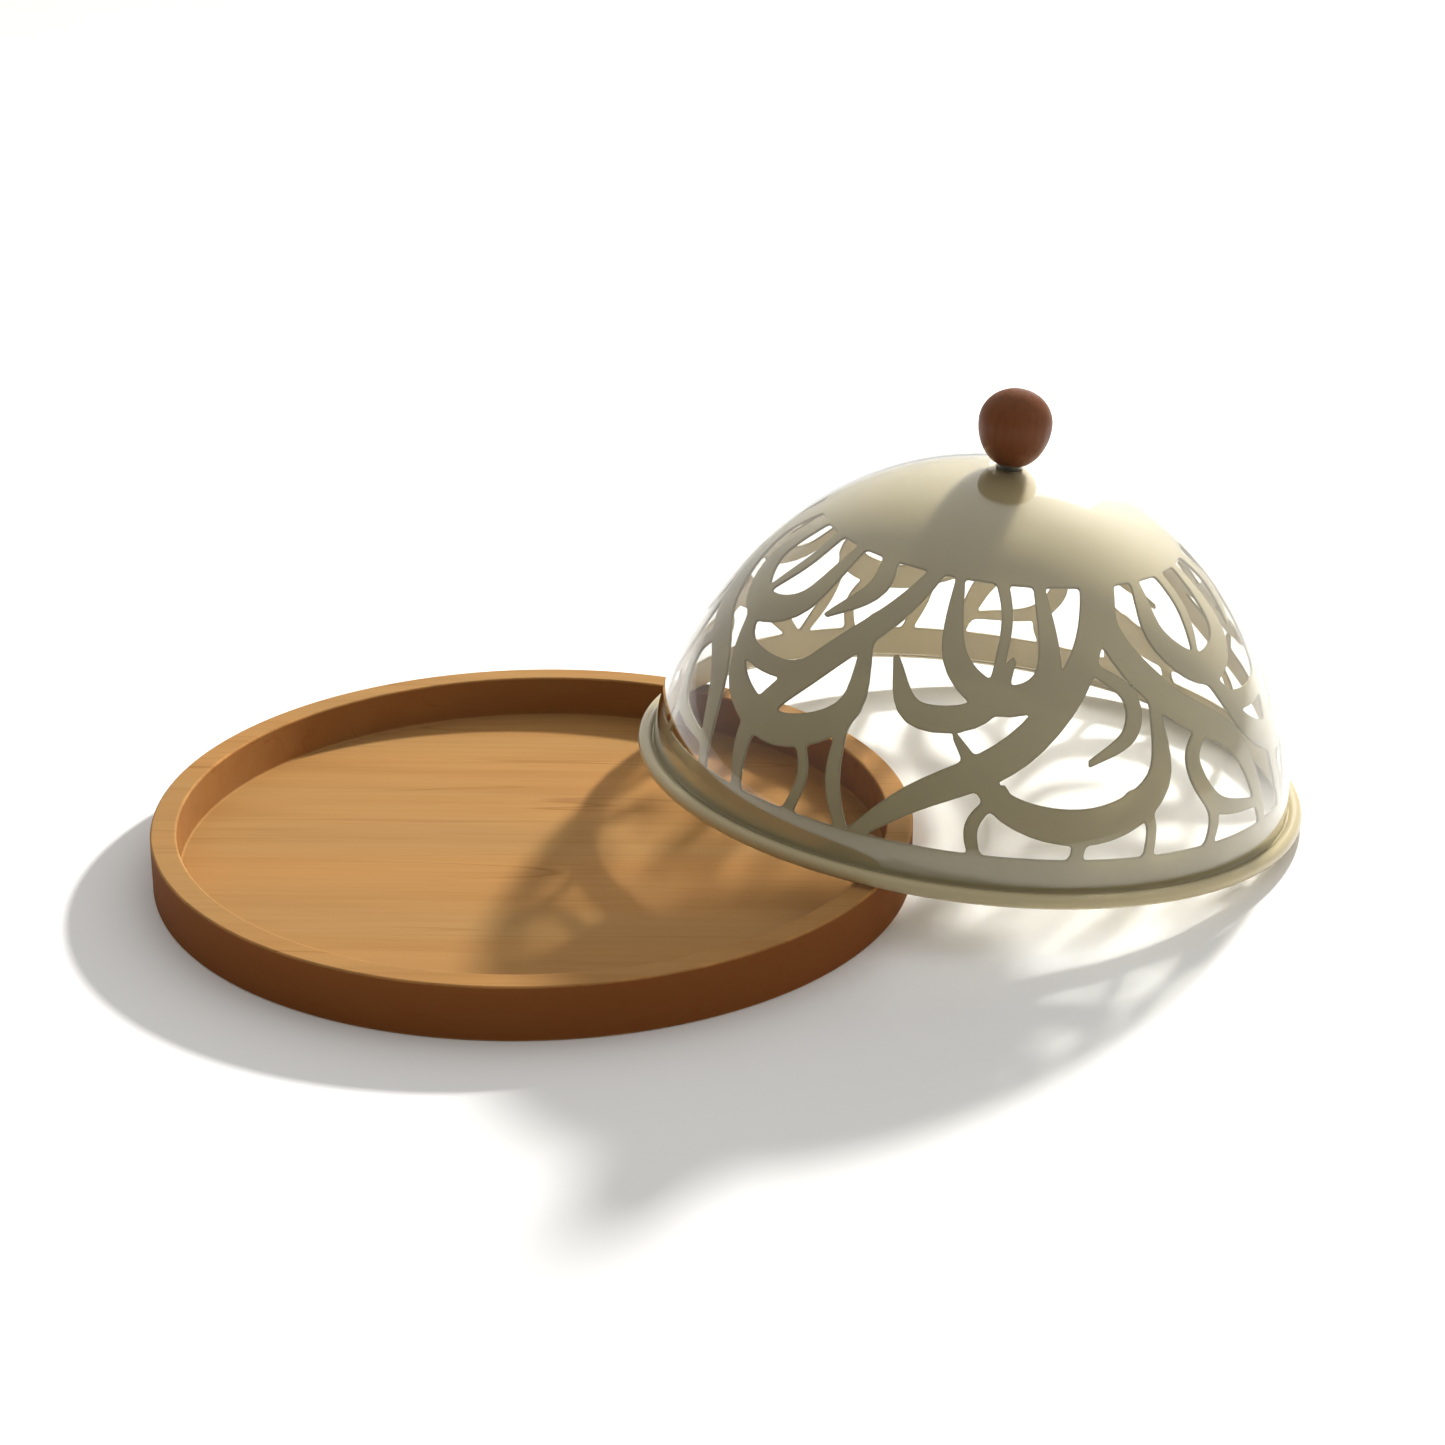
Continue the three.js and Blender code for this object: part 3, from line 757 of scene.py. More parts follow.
def dome_place(sizes: DomeSizes) -> Place:
    """Finds the leaning dome's own frame from the CAD nodes.

    The clear cover and the knob are both turned on the dome's axis, so the middles of their
    points lie on it, and the lowest point of the cover along the axis is its foot.

    Args:
        sizes: the dome's sizes.

    Returns:
        The local frame: origin at the centre of the bead circle, Z up the dome's axis, and X
        in the upright plane that the dome leans in.
    """
    cover = node_points("clear_dome")
    middle = cover.mean(axis=0)
    axis = node_points("knob").mean(axis=0) - middle
    axis /= np.linalg.norm(axis)
    foot = ((cover - middle) @ axis).min()
    side = np.cross(np.array([0.0, 0.0, 1.0]), axis)
    side /= np.linalg.norm(side)
    basis = np.stack([np.cross(side, axis), side, axis])
    return Place(middle + axis * (foot - sizes.foot), basis)


# ---------------------------------------------------------------------- tray


@dataclass
class Tray:
    """The turned wooden tray.

    Attributes:
        rim: width of the lip's top.
        floor: thickness of the floor.
        cove: inside corner between the lip and the floor.
        rounding: eased outer and top edges.
        columns: steps round the axis.
    """

    rim: float = 11.7 * MM
    floor: float = 5.2 * MM
    cove: float = 1 * MM
    rounding: float = 1.1 * MM
    columns: int = 384

    def profile(self) -> np.ndarray:
        """From the middle of the underside out, over the lip and back in along the floor."""
        low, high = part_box("tray")
        radius, height = (high[0] - low[0]) / 2, high[2] - low[2]
        well = radius - self.rim
        ease, cove = self.rounding, self.cove
        return np.vstack([
            line((0, 0), (radius - ease - 1 * MM, 0), 12),
            arc((radius - ease, ease), ease, -90, 0, 8),
            line((radius, ease), (radius, height - ease), 6)[1:-1],
            arc((radius - ease, height - ease), ease, 0, 90, 8),
            line((radius - ease, height), (well + ease, height), 5)[1:-1],
            arc((well + ease, height - ease), ease, 90, 180, 8),
            line((well, height - ease), (well, self.floor + cove), 5)[1:-1],
            arc((well - cove, self.floor + cove), cove, 0, -90, 10),
            line((well - cove, self.floor), (0, self.floor), 30)[1:],
        ])

    def painted_shade_share(self, points: np.ndarray, normals: np.ndarray) -> np.ndarray:
        """Painted shade share of each point: all of it on the outer side, a little over half on the inner
        wall, times how upright the face is.
        """
        outwards = np.einsum("ij,ij->i", points[:, :2], normals[:, :2]) > 0
        return (1 - np.abs(normals[:, 2])) * np.where(outwards, 1.0, 0.55)

    def build(self) -> None:
        """Turns the tray and dresses it in oiled wood."""
        skin = turned_skin(self.profile(), self.columns, closed=False, tight=self.rounding)
        # The tray's upright attribute carries this painted shade share in place of plain uprightness.
        skin.uprights = [self.painted_shade_share(points, normals) for points, normals in zip(skin.points, skin.normals)]
        place = Place(np.zeros(3), np.eye(3))
        skin.piece("turned_tray", place, "tray", Body.TRAY, Slot.TRAY_WOOD, TRAY_WOOD.material())


# ---------------------------------------------------------------------- openwork shell


@dataclass(frozen=True)
class Stroke:
    """A brush stroke of the openwork, which swells and tapers.

    Attributes:
        points: rows of (azimuth in degrees, height in percent of the openwork).
        widths: its width in millimetres at the start, the middle and the end.
    """

    points: tuple[tuple[float, float], ...]
    widths: tuple[float, float, float]

    def runs(self, rise: float, per_span: int) -> np.ndarray:
        """The stroke as short straight runs along a Catmull-Rom curve through its points.

        The half width is that of the nearer end plus the swelling times sin(pi t).

        Args:
            rise: length of the openwork along the wall.
            per_span: runs from one point to the next.

        Returns:
            Rows of [azimuth, length, half width] at the start, then the same at the end.
        """
        given = np.array(self.points) * [1.0, rise / 100]
        ends = np.vstack([2 * given[0] - given[1], given, 2 * given[-1] - given[-2]])
        spans = len(given) - 1
        t = np.linspace(0, 1, per_span * spans + 1)
        span = np.minimum((t * spans).astype(int), spans - 1)
        w = (t * spans - span)[:, None]
        before, start, stop, after = (ends[span + k] for k in range(4))
        leave, arrive = (stop - before) / 2, (after - start) / 2
        curve = (start + leave * w + (3 * (stop - start) - 2 * leave - arrive) * w ** 2
                 + (2 * (start - stop) + leave + arrive) * w ** 3)
        tip = np.where(t < 0.5, self.widths[0], self.widths[2])
        half = (tip + (self.widths[1] - tip) * np.sin(np.pi * t)) / 2 * MM
        knots = np.column_stack([curve, half])
        return np.hstack([knots[:-1], knots[1:]])


STROKES = (
    # long sweeps from the foot band to the cap
    Stroke(((-2, -6), (10, 16), (28, 38), (43, 72), (51, 106)), (4, 15, 8)),
    Stroke(((58, 106), (51, 82), (62, 54), (79, 32), (86, -6)), (6, 15, 5)),
    Stroke(((96, -6), (94, 24), (104, 54), (116, 82), (123, 106)), (4, 13, 6)),
    # crescents
    Stroke(((9, 100), (13, 68), (24, 55), (34, 66), (33, 106)), (4, 14, 4)),
    Stroke(((68, 104), (65, 78), (76, 62), (90, 72), (93, 106)), (4, 15, 4)),
    Stroke(((16, 40), (27, 17), (43, 12), (56, 26), (58, 56)), (3, 16, 4)),
    Stroke(((76, 58), (86, 34), (101, 26), (114, 42), (111, 76)), (4, 15, 3)),
    Stroke(((120, 64), (127, 46), (140, 50), (146, 70)), (3, 12, 3)),
    # leaves
    Stroke(((43, 70), (52, 58), (51, 44), (42, 34)), (5, 8, 3)),
    Stroke(((72, 46), (65, 32), (70, 14), (83, 8)), (4, 9, 4)),
    Stroke(((98, 70), (107, 88), (103, 106)), (2, 10, 5)),
    Stroke(((76, 64), (82, 48), (95, 46), (104, 54)), (3, 9, 5)),
    # stems from the foot band
    Stroke(((39, -6), (41, 14)), (6, 6, 6)),
    Stroke(((53, -6), (54, 12), (50, 22)), (5, 5, 4)),
    Stroke(((66, -6), (69, 8), (67, 20)), (4, 6, 4)),
    Stroke(((23, -6), (21, 10), (26, 24)), (4, 6, 3)),
    Stroke(((107, -6), (109, 14), (105, 30)), (6, 5, 4)),
    Stroke(((120, -6), (115, 16), (114, 42)), (4, 7, 3)),
    # tendrils under the cap
    Stroke(((21, 106), (24, 86), (22, 58)), (6, 5, 4)),
    Stroke(((80, 106), (80, 86), (75, 66)), (6, 6, 3)),
)


@dataclass
class OpenworkShell:
    """The pierced, enamelled shell with its flange and rolled bead.

    Attributes:
        sizes: the dome's sizes.
        band: height of the solid band at the foot.
        cap_depth: crown of the cover down to where the solid cap starts.
        bend: inside bend between the wall and the flange.
        crease: bend between the flange and the bead.
        roll_end: where the bead's roll stops, in degrees.
        edge: rounding of the cut edges.
        blend: fillet where strokes meet.
        tiles: how often the pattern repeats round the dome.
        tile_turn: turns the whole pattern about the axis, in degrees.
        columns: grid steps round the dome.
        rows: grid steps up the openwork.
        margin: rows of solid metal kept above and below the openwork.
        runs_per_span: straight runs from one point of a stroke to the next.
    """

    sizes: DomeSizes
    band: float = 16 * MM
    cap_depth: float = 31 * MM
    bend: float = 1.8 * MM
    crease: float = 0.9 * MM
    roll_end: float = -150.0
    edge: float = 0.42 * MM
    blend: float = 2.5 * MM
    tiles: int = 3
    tile_turn: float = -14.0
    columns: int = 540
    rows: int = 72
    margin: int = 2
    runs_per_span: int = 6

    def __post_init__(self) -> None:
        """Measures the wall: its length from the foot band, against its angle."""
        s = self.sizes
        self.middle = s.sheet_inset + s.sheet / 2
        angles = s.angles()
        line_points = s.wall(angles, self.middle)[0]
        steps = np.linalg.norm(np.diff(line_points, axis=0), axis=1)
        length = np.concatenate([[0], np.cumsum(steps)])
        start = np.interp(s.angle_at(self.middle, 1, self.band), angles, length)
        top = np.interp(s.angle_at(self.middle, 1, s.height - self.cap_depth), angles, length)
        self.table_angle = angles
        self.table_length = length - start
        self.table_radius = line_points[:, 0]
        self.rise = float(top - start)
        self.stroke_runs = [stroke.runs(self.rise, self.runs_per_span) for stroke in STROKES]

    def angle(self, length: np.ndarray) -> np.ndarray:
        """The wall angle at a length up the wall."""
        return np.interp(length, self.table_length, self.table_angle)

    def arc_length(self, length: np.ndarray) -> np.ndarray:
        """Metres per degree of azimuth, at a length up the wall."""
        return np.radians(np.interp(length, self.table_length, self.table_radius))

    def soft_least(self, a: np.ndarray, b: np.ndarray) -> np.ndarray:
        """The lesser of two distances, less a fillet where they are nearly equal."""
        overlap = np.clip(self.blend - np.abs(a - b), 0, None) / self.blend
        return np.minimum(a, b) - overlap ** 2 * self.blend / 4

    def edge_distance(self, azimuth: np.ndarray, length: np.ndarray) -> np.ndarray:
        """Distance from the metal's edge, negative in the metal.

        It is the soft least of the distances to the two solid bands and to every stroke, each
        the least distance to its runs less the half width there. The tile repeats, so a run
        is met at its nearest copy.

        Args:
            azimuth: degrees, any shape.
            length: metres up the wall, the same shape.

        Returns:
            Distances in metres.
        """
        tile = 360 / self.tiles
        scale = self.arc_length(length)[..., None]
        metal = self.soft_least(length, self.rise - length)
        for runs in self.stroke_runs:
            across = azimuth[..., None] - self.tile_turn - runs[:, 0]
            px = ((across + tile / 2) % tile - tile / 2) * scale
            py = length[..., None] - runs[:, 1]
            rx = (runs[:, 3] - runs[:, 0]) * scale
            ry = runs[:, 4] - runs[:, 1]
            share = np.clip((px * rx + py * ry) / (rx * rx + ry * ry), 0, 1)
            half = runs[:, 2] + (runs[:, 5] - runs[:, 2]) * share
            distance = np.hypot(px - share * rx, py - share * ry) - half
            metal = self.soft_least(metal, distance.min(axis=-1))
        return metal

    def away(self, azimuth: np.ndarray, length: np.ndarray) -> np.ndarray:
        """Unit directions [along the azimuth, up the wall] in which the edge distance grows."""
        step = 0.2 * MM
        turn = step / self.arc_length(length)
        east = self.edge_distance(azimuth + turn, length) - self.edge_distance(azimuth - turn, length)
        north = self.edge_distance(azimuth, length + step) - self.edge_distance(azimuth, length - step)
        way = np.column_stack([east, north])
        return way / np.maximum(np.linalg.norm(way, axis=1, keepdims=True), 1e-12)

    def on_wall(self, azimuth: np.ndarray, length: np.ndarray,
                depth: float | np.ndarray) -> tuple[np.ndarray, np.ndarray, np.ndarray, np.ndarray]:
        """Points on the sheet, with their outward, round and up directions.

        Args:
            azimuth: degrees.
            length: metres up the wall.
            depth: distance in from the sheet's outside.

        Returns:
            Four arrays of shape (count, 3).
        """
        profile, normals = self.sizes.wall(self.angle(length), self.sizes.sheet_inset + np.asarray(depth))
        turn = np.radians(azimuth)
        out = np.column_stack([np.cos(turn), np.sin(turn), np.zeros(len(turn))])
        round_ = np.column_stack([-np.sin(turn), np.cos(turn), np.zeros(len(turn))])
        up = np.array([0.0, 0.0, 1.0])
        points = profile[:, :1] * out + profile[:, 1:] * up
        outward = normals[:, :1] * out + normals[:, 1:] * up
        return points, outward, round_, np.cross(outward, round_)

    def pierced(self, skin: Skin) -> tuple[list[np.ndarray], list[np.ndarray]]:
        """Builds the openwork between the foot band and the cap, as marching squares.

        The edge distance is worked out on a grid over the wall. Each square keeps the part of
        it that is metal, with new corners where the distance passes through the rounding of
        the cut edge, and both faces of the sheet use the same squares. Round each opening the
        faces are joined by rings that follow a quarter circle, a flat and a quarter circle.

        Args:
            skin: the skin to add to.

        Returns:
            The outer face's lowest and highest rings, and the inner face's.
        """
        rows, columns = self.rows + 2 * self.margin, self.columns
        pitch = self.rise / self.rows
        lengths = (np.arange(rows + 1) - self.margin) * pitch
        step = 360 / columns
        tile_columns = columns // self.tiles
        azimuths = np.arange(tile_columns) * step
        grid_az, grid_len = np.meshgrid(azimuths, lengths)
        tile = self.edge_distance(grid_az, grid_len) + self.edge
        value = np.tile(tile, (1, self.tiles))
        grid_az, grid_len = np.meshgrid(np.arange(columns) * step, lengths)
        right, above = np.roll(value, -1, axis=1), np.vstack([value[1:], value[-1:]])

        def crossing(there: np.ndarray) -> np.ndarray:
            """Share of the way to the next corner where the value is zero."""
            change = value - there
            return np.clip(value / np.where(change == 0, 1, change), 0.02, 0.98)

        azimuth = np.concatenate([grid_az, grid_az + crossing(right) * step, grid_az], axis=None)
        length = np.concatenate([grid_len, grid_len, grid_len + crossing(above) * pitch], axis=None)
        size = value.size
        corner = np.arange(size).reshape(value.shape)
        metal = value < 0
        here = corner[:-1]
        corners = [here, np.roll(here, -1, axis=1), np.roll(corner[1:], -1, axis=1), corner[1:]]
        sides = [size + corner[:-1], 2 * size + corners[1], size + corner[1:], 2 * size + here]
        kinds = sum((metal.ravel()[c] << k) for k, c in enumerate(corners))
        faces, walls = [], []
        for kind in range(1, 16):
            where = kinds == kind
            inside = [bool(kind >> k & 1) for k in range(4)]
            loop, marks = [], []
            for k in range(4):
                if inside[k]:
                    loop.append(corners[k][where])
                    marks.append("corner")
                if inside[k] != inside[(k + 1) % 4]:
                    loop.append(sides[k][where])
                    marks.append("leave" if inside[k] else "enter")
            faces.append(np.column_stack(loop))
            for k, mark in enumerate(marks):
                if mark == "leave":
                    walls.append(np.column_stack([loop[k], loop[(k + 1) % len(loop)]]))
        wall = np.concatenate(walls)

        points, outward = self.on_wall(azimuth, length, 0.0)[:2]
        on_edge = np.zeros(3 * size)
        on_edge[np.unique(wall)] = 0.6
        outer = skin.add(points, outward, on_edge)
        inner_points = self.on_wall(azimuth, length, self.sizes.sheet)[0]
        inner = skin.add(inner_points, -outward, on_edge)
        skin.faces.extend(outer[block] for block in faces)
        skin.faces.extend(inner[block][:, ::-1] for block in faces)
        self._cut_edges(skin, wall, (azimuth, length), outer, inner)
        shape = value.shape
        outer_rows, inner_rows = outer[:size].reshape(shape), inner[:size].reshape(shape)
        return [outer_rows[0], outer_rows[-1]], [inner_rows[0], inner_rows[-1]]

    def _cut_edges(self, skin: Skin, wall: np.ndarray, places: tuple[np.ndarray, np.ndarray],
                   outer: np.ndarray, inner: np.ndarray) -> None:
        """Joins the two faces of the sheet round the openings, with rounded edges.

        Args:
            skin: the skin to add to.
            wall: rows of the two grid places that each stretch of edge runs between.
            places: azimuth and length of each grid place.
            outer: the outer face's numbers, by grid place.
            inner: the inner face's numbers, by grid place.
        """
        used, ends = np.unique(wall, return_inverse=True)
        ends = ends.reshape(wall.shape)
        azimuth, length = places[0][used], places[1][used]
        way = self.away(azimuth, length)
        thick, radius = self.sizes.sheet, self.edge
        rings = [outer[used]]
        for angle in (45, 90, 90.001, 135):
            lean = math.radians(angle)
            reach = radius * math.sin(lean)
            depth = radius * (1 - math.cos(lean)) if angle <= 90 else thick - radius * (1 + math.cos(lean))
            az = azimuth + way[:, 0] * reach / self.arc_length(length)
            points, outward, round_, up = self.on_wall(az, length + way[:, 1] * reach, depth)
            open_way = way[:, :1] * round_ + way[:, 1:] * up
            rings.append(skin.add(points, math.cos(lean) * outward + math.sin(lean) * open_way, 1.0))
        rings.append(inner[used])
        for near, far in zip(rings, rings[1:]):
            start, stop = ends.T
            skin.faces.append(np.column_stack([near[stop], near[start], far[start], far[stop]]))

    def foot_line(self) -> np.ndarray:
        """The middle of the sheet from the openwork down: wall, bend, flange, crease and roll."""
        s = self.sizes
        flange = s.sheet / 2
        low = float(self.angle(np.array([-self.margin * self.rise / self.rows]))[0])
        bend_angle = s.angle_at(self.middle, 1, flange + self.bend)
        wall = s.wall(np.linspace(low, bend_angle, 7), self.middle)[0][1:]
        bend = arc((wall[-1, 0] + self.bend, flange + self.bend), self.bend, 180, 270, 6)[1:]
        roll = s.bead - s.sheet / 2
        drop = math.sqrt((roll + self.crease) ** 2 - (flange + self.crease) ** 2)
        centre = (s.bead_circle - drop, flange + self.crease)
        meet = math.degrees(math.atan2(-centre[1], drop))
        crease = arc(centre, self.crease, -90, meet, 5)
        curl = arc((s.bead_circle, 0), roll, 180 + meet, self.roll_end, 28)[1:]
        return np.vstack([wall, bend, crease, curl])

    def build(self, place: Place) -> None:
        """Builds the whole shell as one closed skin."""
        s = self.sizes
        skin = Skin()
        (outer_low, outer_high), (inner_low, inner_high) = self.pierced(skin)
        coarse = self.columns // 2
        half = s.sheet / 2

        middle = self.foot_line()
        normals = -profile_normals(middle, closed=False)
        tip = np.array([normals[-1, 1], -normals[-1, 0]])
        outer_side, inner_side = middle + half * normals, middle - half * normals
        turns = np.radians([30, 60, 90, 120, 150])[:, None]
        end_way = np.cos(turns) * normals[-1] + np.sin(turns) * tip
        path = np.vstack([outer_side, middle[-1] + half * end_way, inner_side[::-1]])
        ways = np.vstack([normals, end_way, -normals[::-1]])
        points, outward = around(path, ways, coarse)
        bead = np.zeros(len(path))
        bead[len(outer_side):-len(inner_side)] = 1.0
        rings = [skin.add(points[k], outward[k], bead[k]) for k in range(len(path))]
        skin.chain([inner_low, *rings[::-1], outer_low])

        start = float(self.angle(np.array([self.rise + self.margin * self.rise / self.rows]))[0])
        outer_line, outer_ways = s.crown_line(s.sheet_inset, start, 20)
        inner_line, inner_ways = s.crown_line(s.sheet_inset + s.sheet, start, 20)
        path = np.vstack([outer_line[1:], inner_line[:0:-1]])
        ways = np.vstack([outer_ways[1:], -inner_ways[:0:-1]])
        points, outward = around(path, ways, coarse)
        rings = [skin.add(points[k], outward[k], 0.0) for k in range(len(path))]
        skin.chain([outer_high, *rings, inner_high])
        skin.piece("openwork_shell", place, "openwork_dome", Body.DOME, Slot.ENAMEL, ENAMEL.material())


# ---------------------------------------------------------------------- clear cover


@dataclass
class Cover:
    """The clear cover over the openwork shell.

    Attributes:
        sizes: the dome's sizes.
        rows: rows up each face.
        columns: steps round the axis.
    """

    sizes: DomeSizes
    rows: int = 46
    columns: int = 256

    def profile(self) -> np.ndarray:
        """Up the outside, across the screw hole's edge, down the inside and round the foot."""
        s = self.sizes
        ease = s.cover / 2
        low = s.foot + ease
        outside = s.crown_line(0.0, s.angle_at(0.0, 1, low), self.rows)[0]
        inside = s.crown_line(s.cover, s.angle_at(s.cover, 1, low), self.rows)[0]
        foot = arc(((outside[0, 0] + inside[0, 0]) / 2, low), ease, 180, 360, 12)[1:-1]
        return np.vstack([outside, inside[::-1], foot])

    def build(self, place: Place) -> None:
        """Turns the cover and dresses it in its clear finish."""
        skin = turned_skin(self.profile(), self.columns, closed=True, tight=0.4 * MM)
        skin.piece("clear_cover", place, "clear_dome", Body.DOME, Slot.CLEAR, COVER.material())


# ---------------------------------------------------------------------- knob and its fastening


@dataclass
class KnobAssembly:
    """The wooden knob and all that clamps it to the dome.

    Attributes:
        sizes: the dome's sizes.
        radius: the knob's largest radius.
        seat_radius: radius of the knob's seat.
        belly: seat to the widest place.
        crown: widest place to the top.
        insert_wall: wall of the threaded insert.
        insert_length: length of the insert.
        insert_recess: the insert's end inside the knob's seat.
        bore_spare: bore past the insert.
        bore_tip: cone at the end of the bore.
        gasket_radius: outer radius of the gaskets.
        gasket: thickness of the knob's and the screw's gaskets.
        washer_radius: outer radius of the washer.
        washer: thickness of the washer.
        screw_radius: outer radius of the screw's thread.
        pitch: pitch of the thread.
        grip: length of screw inside the knob.
        head_radius: radius of the screw's head.
        head: height of the screw's head.
        socket: radius of the hexagon socket over its corners.
        socket_depth: depth of the socket.
        face_radius: radius of the flat round the socket.
        shoulder_radius: radius where the head starts to round over.
        bow_reach: how far the rounding goes outwards.
        bow_rise: how far it goes up.
        tip_chamfer: chamfer at the end of the screw.
        groove: depth of the screw's thread.
        knurl: depth of the insert's knurling.
        inner_groove: depth of the insert's thread.
    """

    sizes: DomeSizes
    radius: float = 16.7 * MM
    seat_radius: float = 8 * MM
    belly: float = 18.6 * MM
    crown: float = 15.3 * MM
    insert_wall: float = 1.2 * MM
    insert_length: float = 14 * MM
    insert_recess: float = 0.6 * MM
    bore_spare: float = 1.5 * MM
    bore_tip: float = 2 * MM
    gasket_radius: float = 6.2 * MM
    gasket: float = 0.8 * MM
    washer_radius: float = 7 * MM
    washer: float = 0.8 * MM
    screw_radius: float = 2.5 * MM
    pitch: float = 0.8 * MM
    grip: float = 12 * MM
    head_radius: float = 4.6 * MM
    head: float = 3 * MM
    socket: float = 1.7 * MM
    socket_depth: float = 1.8 * MM
    face_radius: float = 2.4 * MM
    shoulder_radius: float = 3.1 * MM
    bow_reach: float = 1.5 * MM
    bow_rise: float = 1.4 * MM
    tip_chamfer: float = 0.9 * MM
    groove: float = 0.42 * MM
    knurl: float = 0.25 * MM
    inner_groove: float = 0.35 * MM

    def __post_init__(self) -> None:
        """Stacks the heights of what the screw clamps."""
        s = self.sizes
        self.seat = s.crown(0.0) + 2 * s.seat + self.gasket
        self.inner_top = s.crown(s.sheet_inset + s.sheet) - s.seat
        self.washer_top = self.inner_top - self.gasket - s.seat
        self.head_top = self.washer_top - self.washer - s.seat
        self.insert_radius = s.hole + self.insert_wall

    def knob_profile(self) -> np.ndarray:
        """From the end of the bore, over the seat and round the egg to the top.

        The lower half is an arc of an ellipse that is cut off by the seat and the upper half
        a quarter of another, and they meet at the widest place.
        """
        reach = self.belly / math.sqrt(1 - (self.seat_radius / self.radius) ** 2)
        lowest = math.asin(self.belly / reach)
        bore = self.insert_radius + self.sizes.seat
        top = self.insert_recess + self.insert_length + self.bore_spare
        ease = 0.25 * MM
        lower = np.linspace(-lowest + 0.02, 0, 26)
        upper = np.linspace(0, math.pi / 2, 27)[1:]
        profile = np.vstack([
            [[0, top + self.bore_tip]],
            line((bore, top), (bore, ease), 6),
            arc((bore + ease, ease), ease, 180, 270, 3)[1:],
            line((bore + ease, 0), (self.seat_radius - ease, 0), 3)[1:],
            np.column_stack([self.radius * np.cos(lower), self.belly + reach * np.sin(lower)]),
            np.column_stack([self.radius * np.cos(upper), self.belly + self.crown * np.sin(upper)]),
        ])
        profile[-1, 0] = 0.0
        return profile + [0, self.seat]

    def insert_skin(self) -> Skin:
        """The insert: a tube knurled outside and threaded inside.

        Outside, the radius falls by a shallow share of |sin(8a + kz)| + |sin(8a - kz)|, which
        draws crossed grooves. Inside, it rises and falls with the turn and the height, once
        for each pitch.
        """
        columns, rows = 96, 160
        turn = np.arange(columns) * (2 * math.pi / columns)
        height = np.linspace(0, 1, rows + 1)[:, None]
        low = self.seat + self.insert_recess
        z = low + height * self.insert_length
        ends = np.clip(np.minimum(height, 1 - height) * 14, 0, 1)
        crossed = (np.abs(np.sin(8 * turn + z * 3500)) + np.abs(np.sin(8 * turn - z * 3500))) / 2
        outside = self.insert_radius - (1 - crossed * ends) * self.knurl
        phase = (z / self.pitch - turn / (2 * math.pi)) % 1
        inside = self.sizes.hole + np.abs(phase * 2 - 1) * self.inner_groove * ends
        skin = Skin()
        outer = self._grid(skin, turn, z, outside, 1.0)
        inner = self._grid(skin, turn, z, inside, -1.0)
        skin.chain([*outer, *inner[::-1]], closed=True)
        return skin

    def _grid(self, skin: Skin, turn: np.ndarray, z: np.ndarray, radius: np.ndarray,
              side: float) -> list[np.ndarray]:
        """Adds rings at heights z with a radius for each point; side is -1 for an inside."""
        x, y = radius * np.cos(turn), radius * np.sin(turn)
        points = np.stack([x, y, np.broadcast_to(z, radius.shape)], axis=-1)
        normals = side * grid_normals(points)
        return [skin.add(points[k], normals[k]) for k in range(len(points))]

    def screw_skin(self) -> Skin:
        """The pan head screw with its hexagon socket and its thread.

        The socket's radius at turn a is its apothem over cos(a') with a' the turn from the
        middle of the nearest side. The thread's radius is the outer radius less a groove that
        grows to its middle and back once for each pitch.
        """
        columns = 72
        turn = np.arange(columns) * (2 * math.pi / columns)
        apothem = self.socket * math.cos(math.pi / 6)
        hexagon = apothem / np.cos((turn + math.pi / 6) % (math.pi / 3) - math.pi / 6)
        circle = np.ones(columns)
        bottom = self.head_top - self.head
        depth = bottom + self.socket_depth
        head = [
            (hexagon * 0.02, depth), (hexagon * 0.96, depth), (hexagon, depth - 0.05 * MM),
            (hexagon, bottom + 0.12 * MM), (hexagon * 1.05, bottom),
            (circle * self.face_radius, bottom), (circle * self.shoulder_radius, bottom + 0.05 * MM),
        ]
        for bow in np.radians(np.linspace(12, 90, 9)):
            radius = self.shoulder_radius + self.bow_reach * math.sin(bow)
            height = bottom + 0.05 * MM + self.bow_rise * (1 - math.cos(bow))
            head.append((circle * radius, height))
        head += [(circle * self.head_radius, self.head_top - 0.15 * MM),
                 (circle * (self.head_radius - 0.12 * MM), self.head_top),
                 (circle * (self.screw_radius + 0.15 * MM), self.head_top),
                 (circle * self.screw_radius * 0.98, self.head_top + 0.15 * MM)]
        top = self.seat + self.grip
        start = self.head_top + 1.5 * MM
        steps = int(round((top - start) / self.pitch * 9))
        for z in np.linspace(start, top, steps):
            phase = (z / self.pitch - turn / (2 * math.pi)) % 1
            fade = min((z - start) / self.pitch, 1) * min(max((top - z) / self.pitch, 0.15), 1)
            groove = np.clip(1 - np.abs(phase * 2 - 1) * 1.15, 0, 1) * self.groove * fade
            chamfer = np.clip(z - (top - self.tip_chamfer), 0, None)
            head.append((self.screw_radius - 0.02 * MM - groove - chamfer, z))
        skin = Skin()
        radii = np.array([radius for radius, _ in head])
        z = np.array([height for _, height in head])[:, None]
        x, y = radii * np.cos(turn), radii * np.sin(turn)
        points = np.stack([x, y, np.broadcast_to(z, radii.shape)], axis=-1)
        normals = grid_normals(points)
        first = skin.add(np.array([[0.0, 0.0, depth]]), np.array([[0.0, 0.0, -1.0]]))
        rings = [skin.add(points[k], normals[k]) for k in range(len(points))]
        last = skin.add(np.array([[0.0, 0.0, top]]), np.array([[0.0, 0.0, 1.0]]))
        skin.chain([first, *rings, last])
        return skin

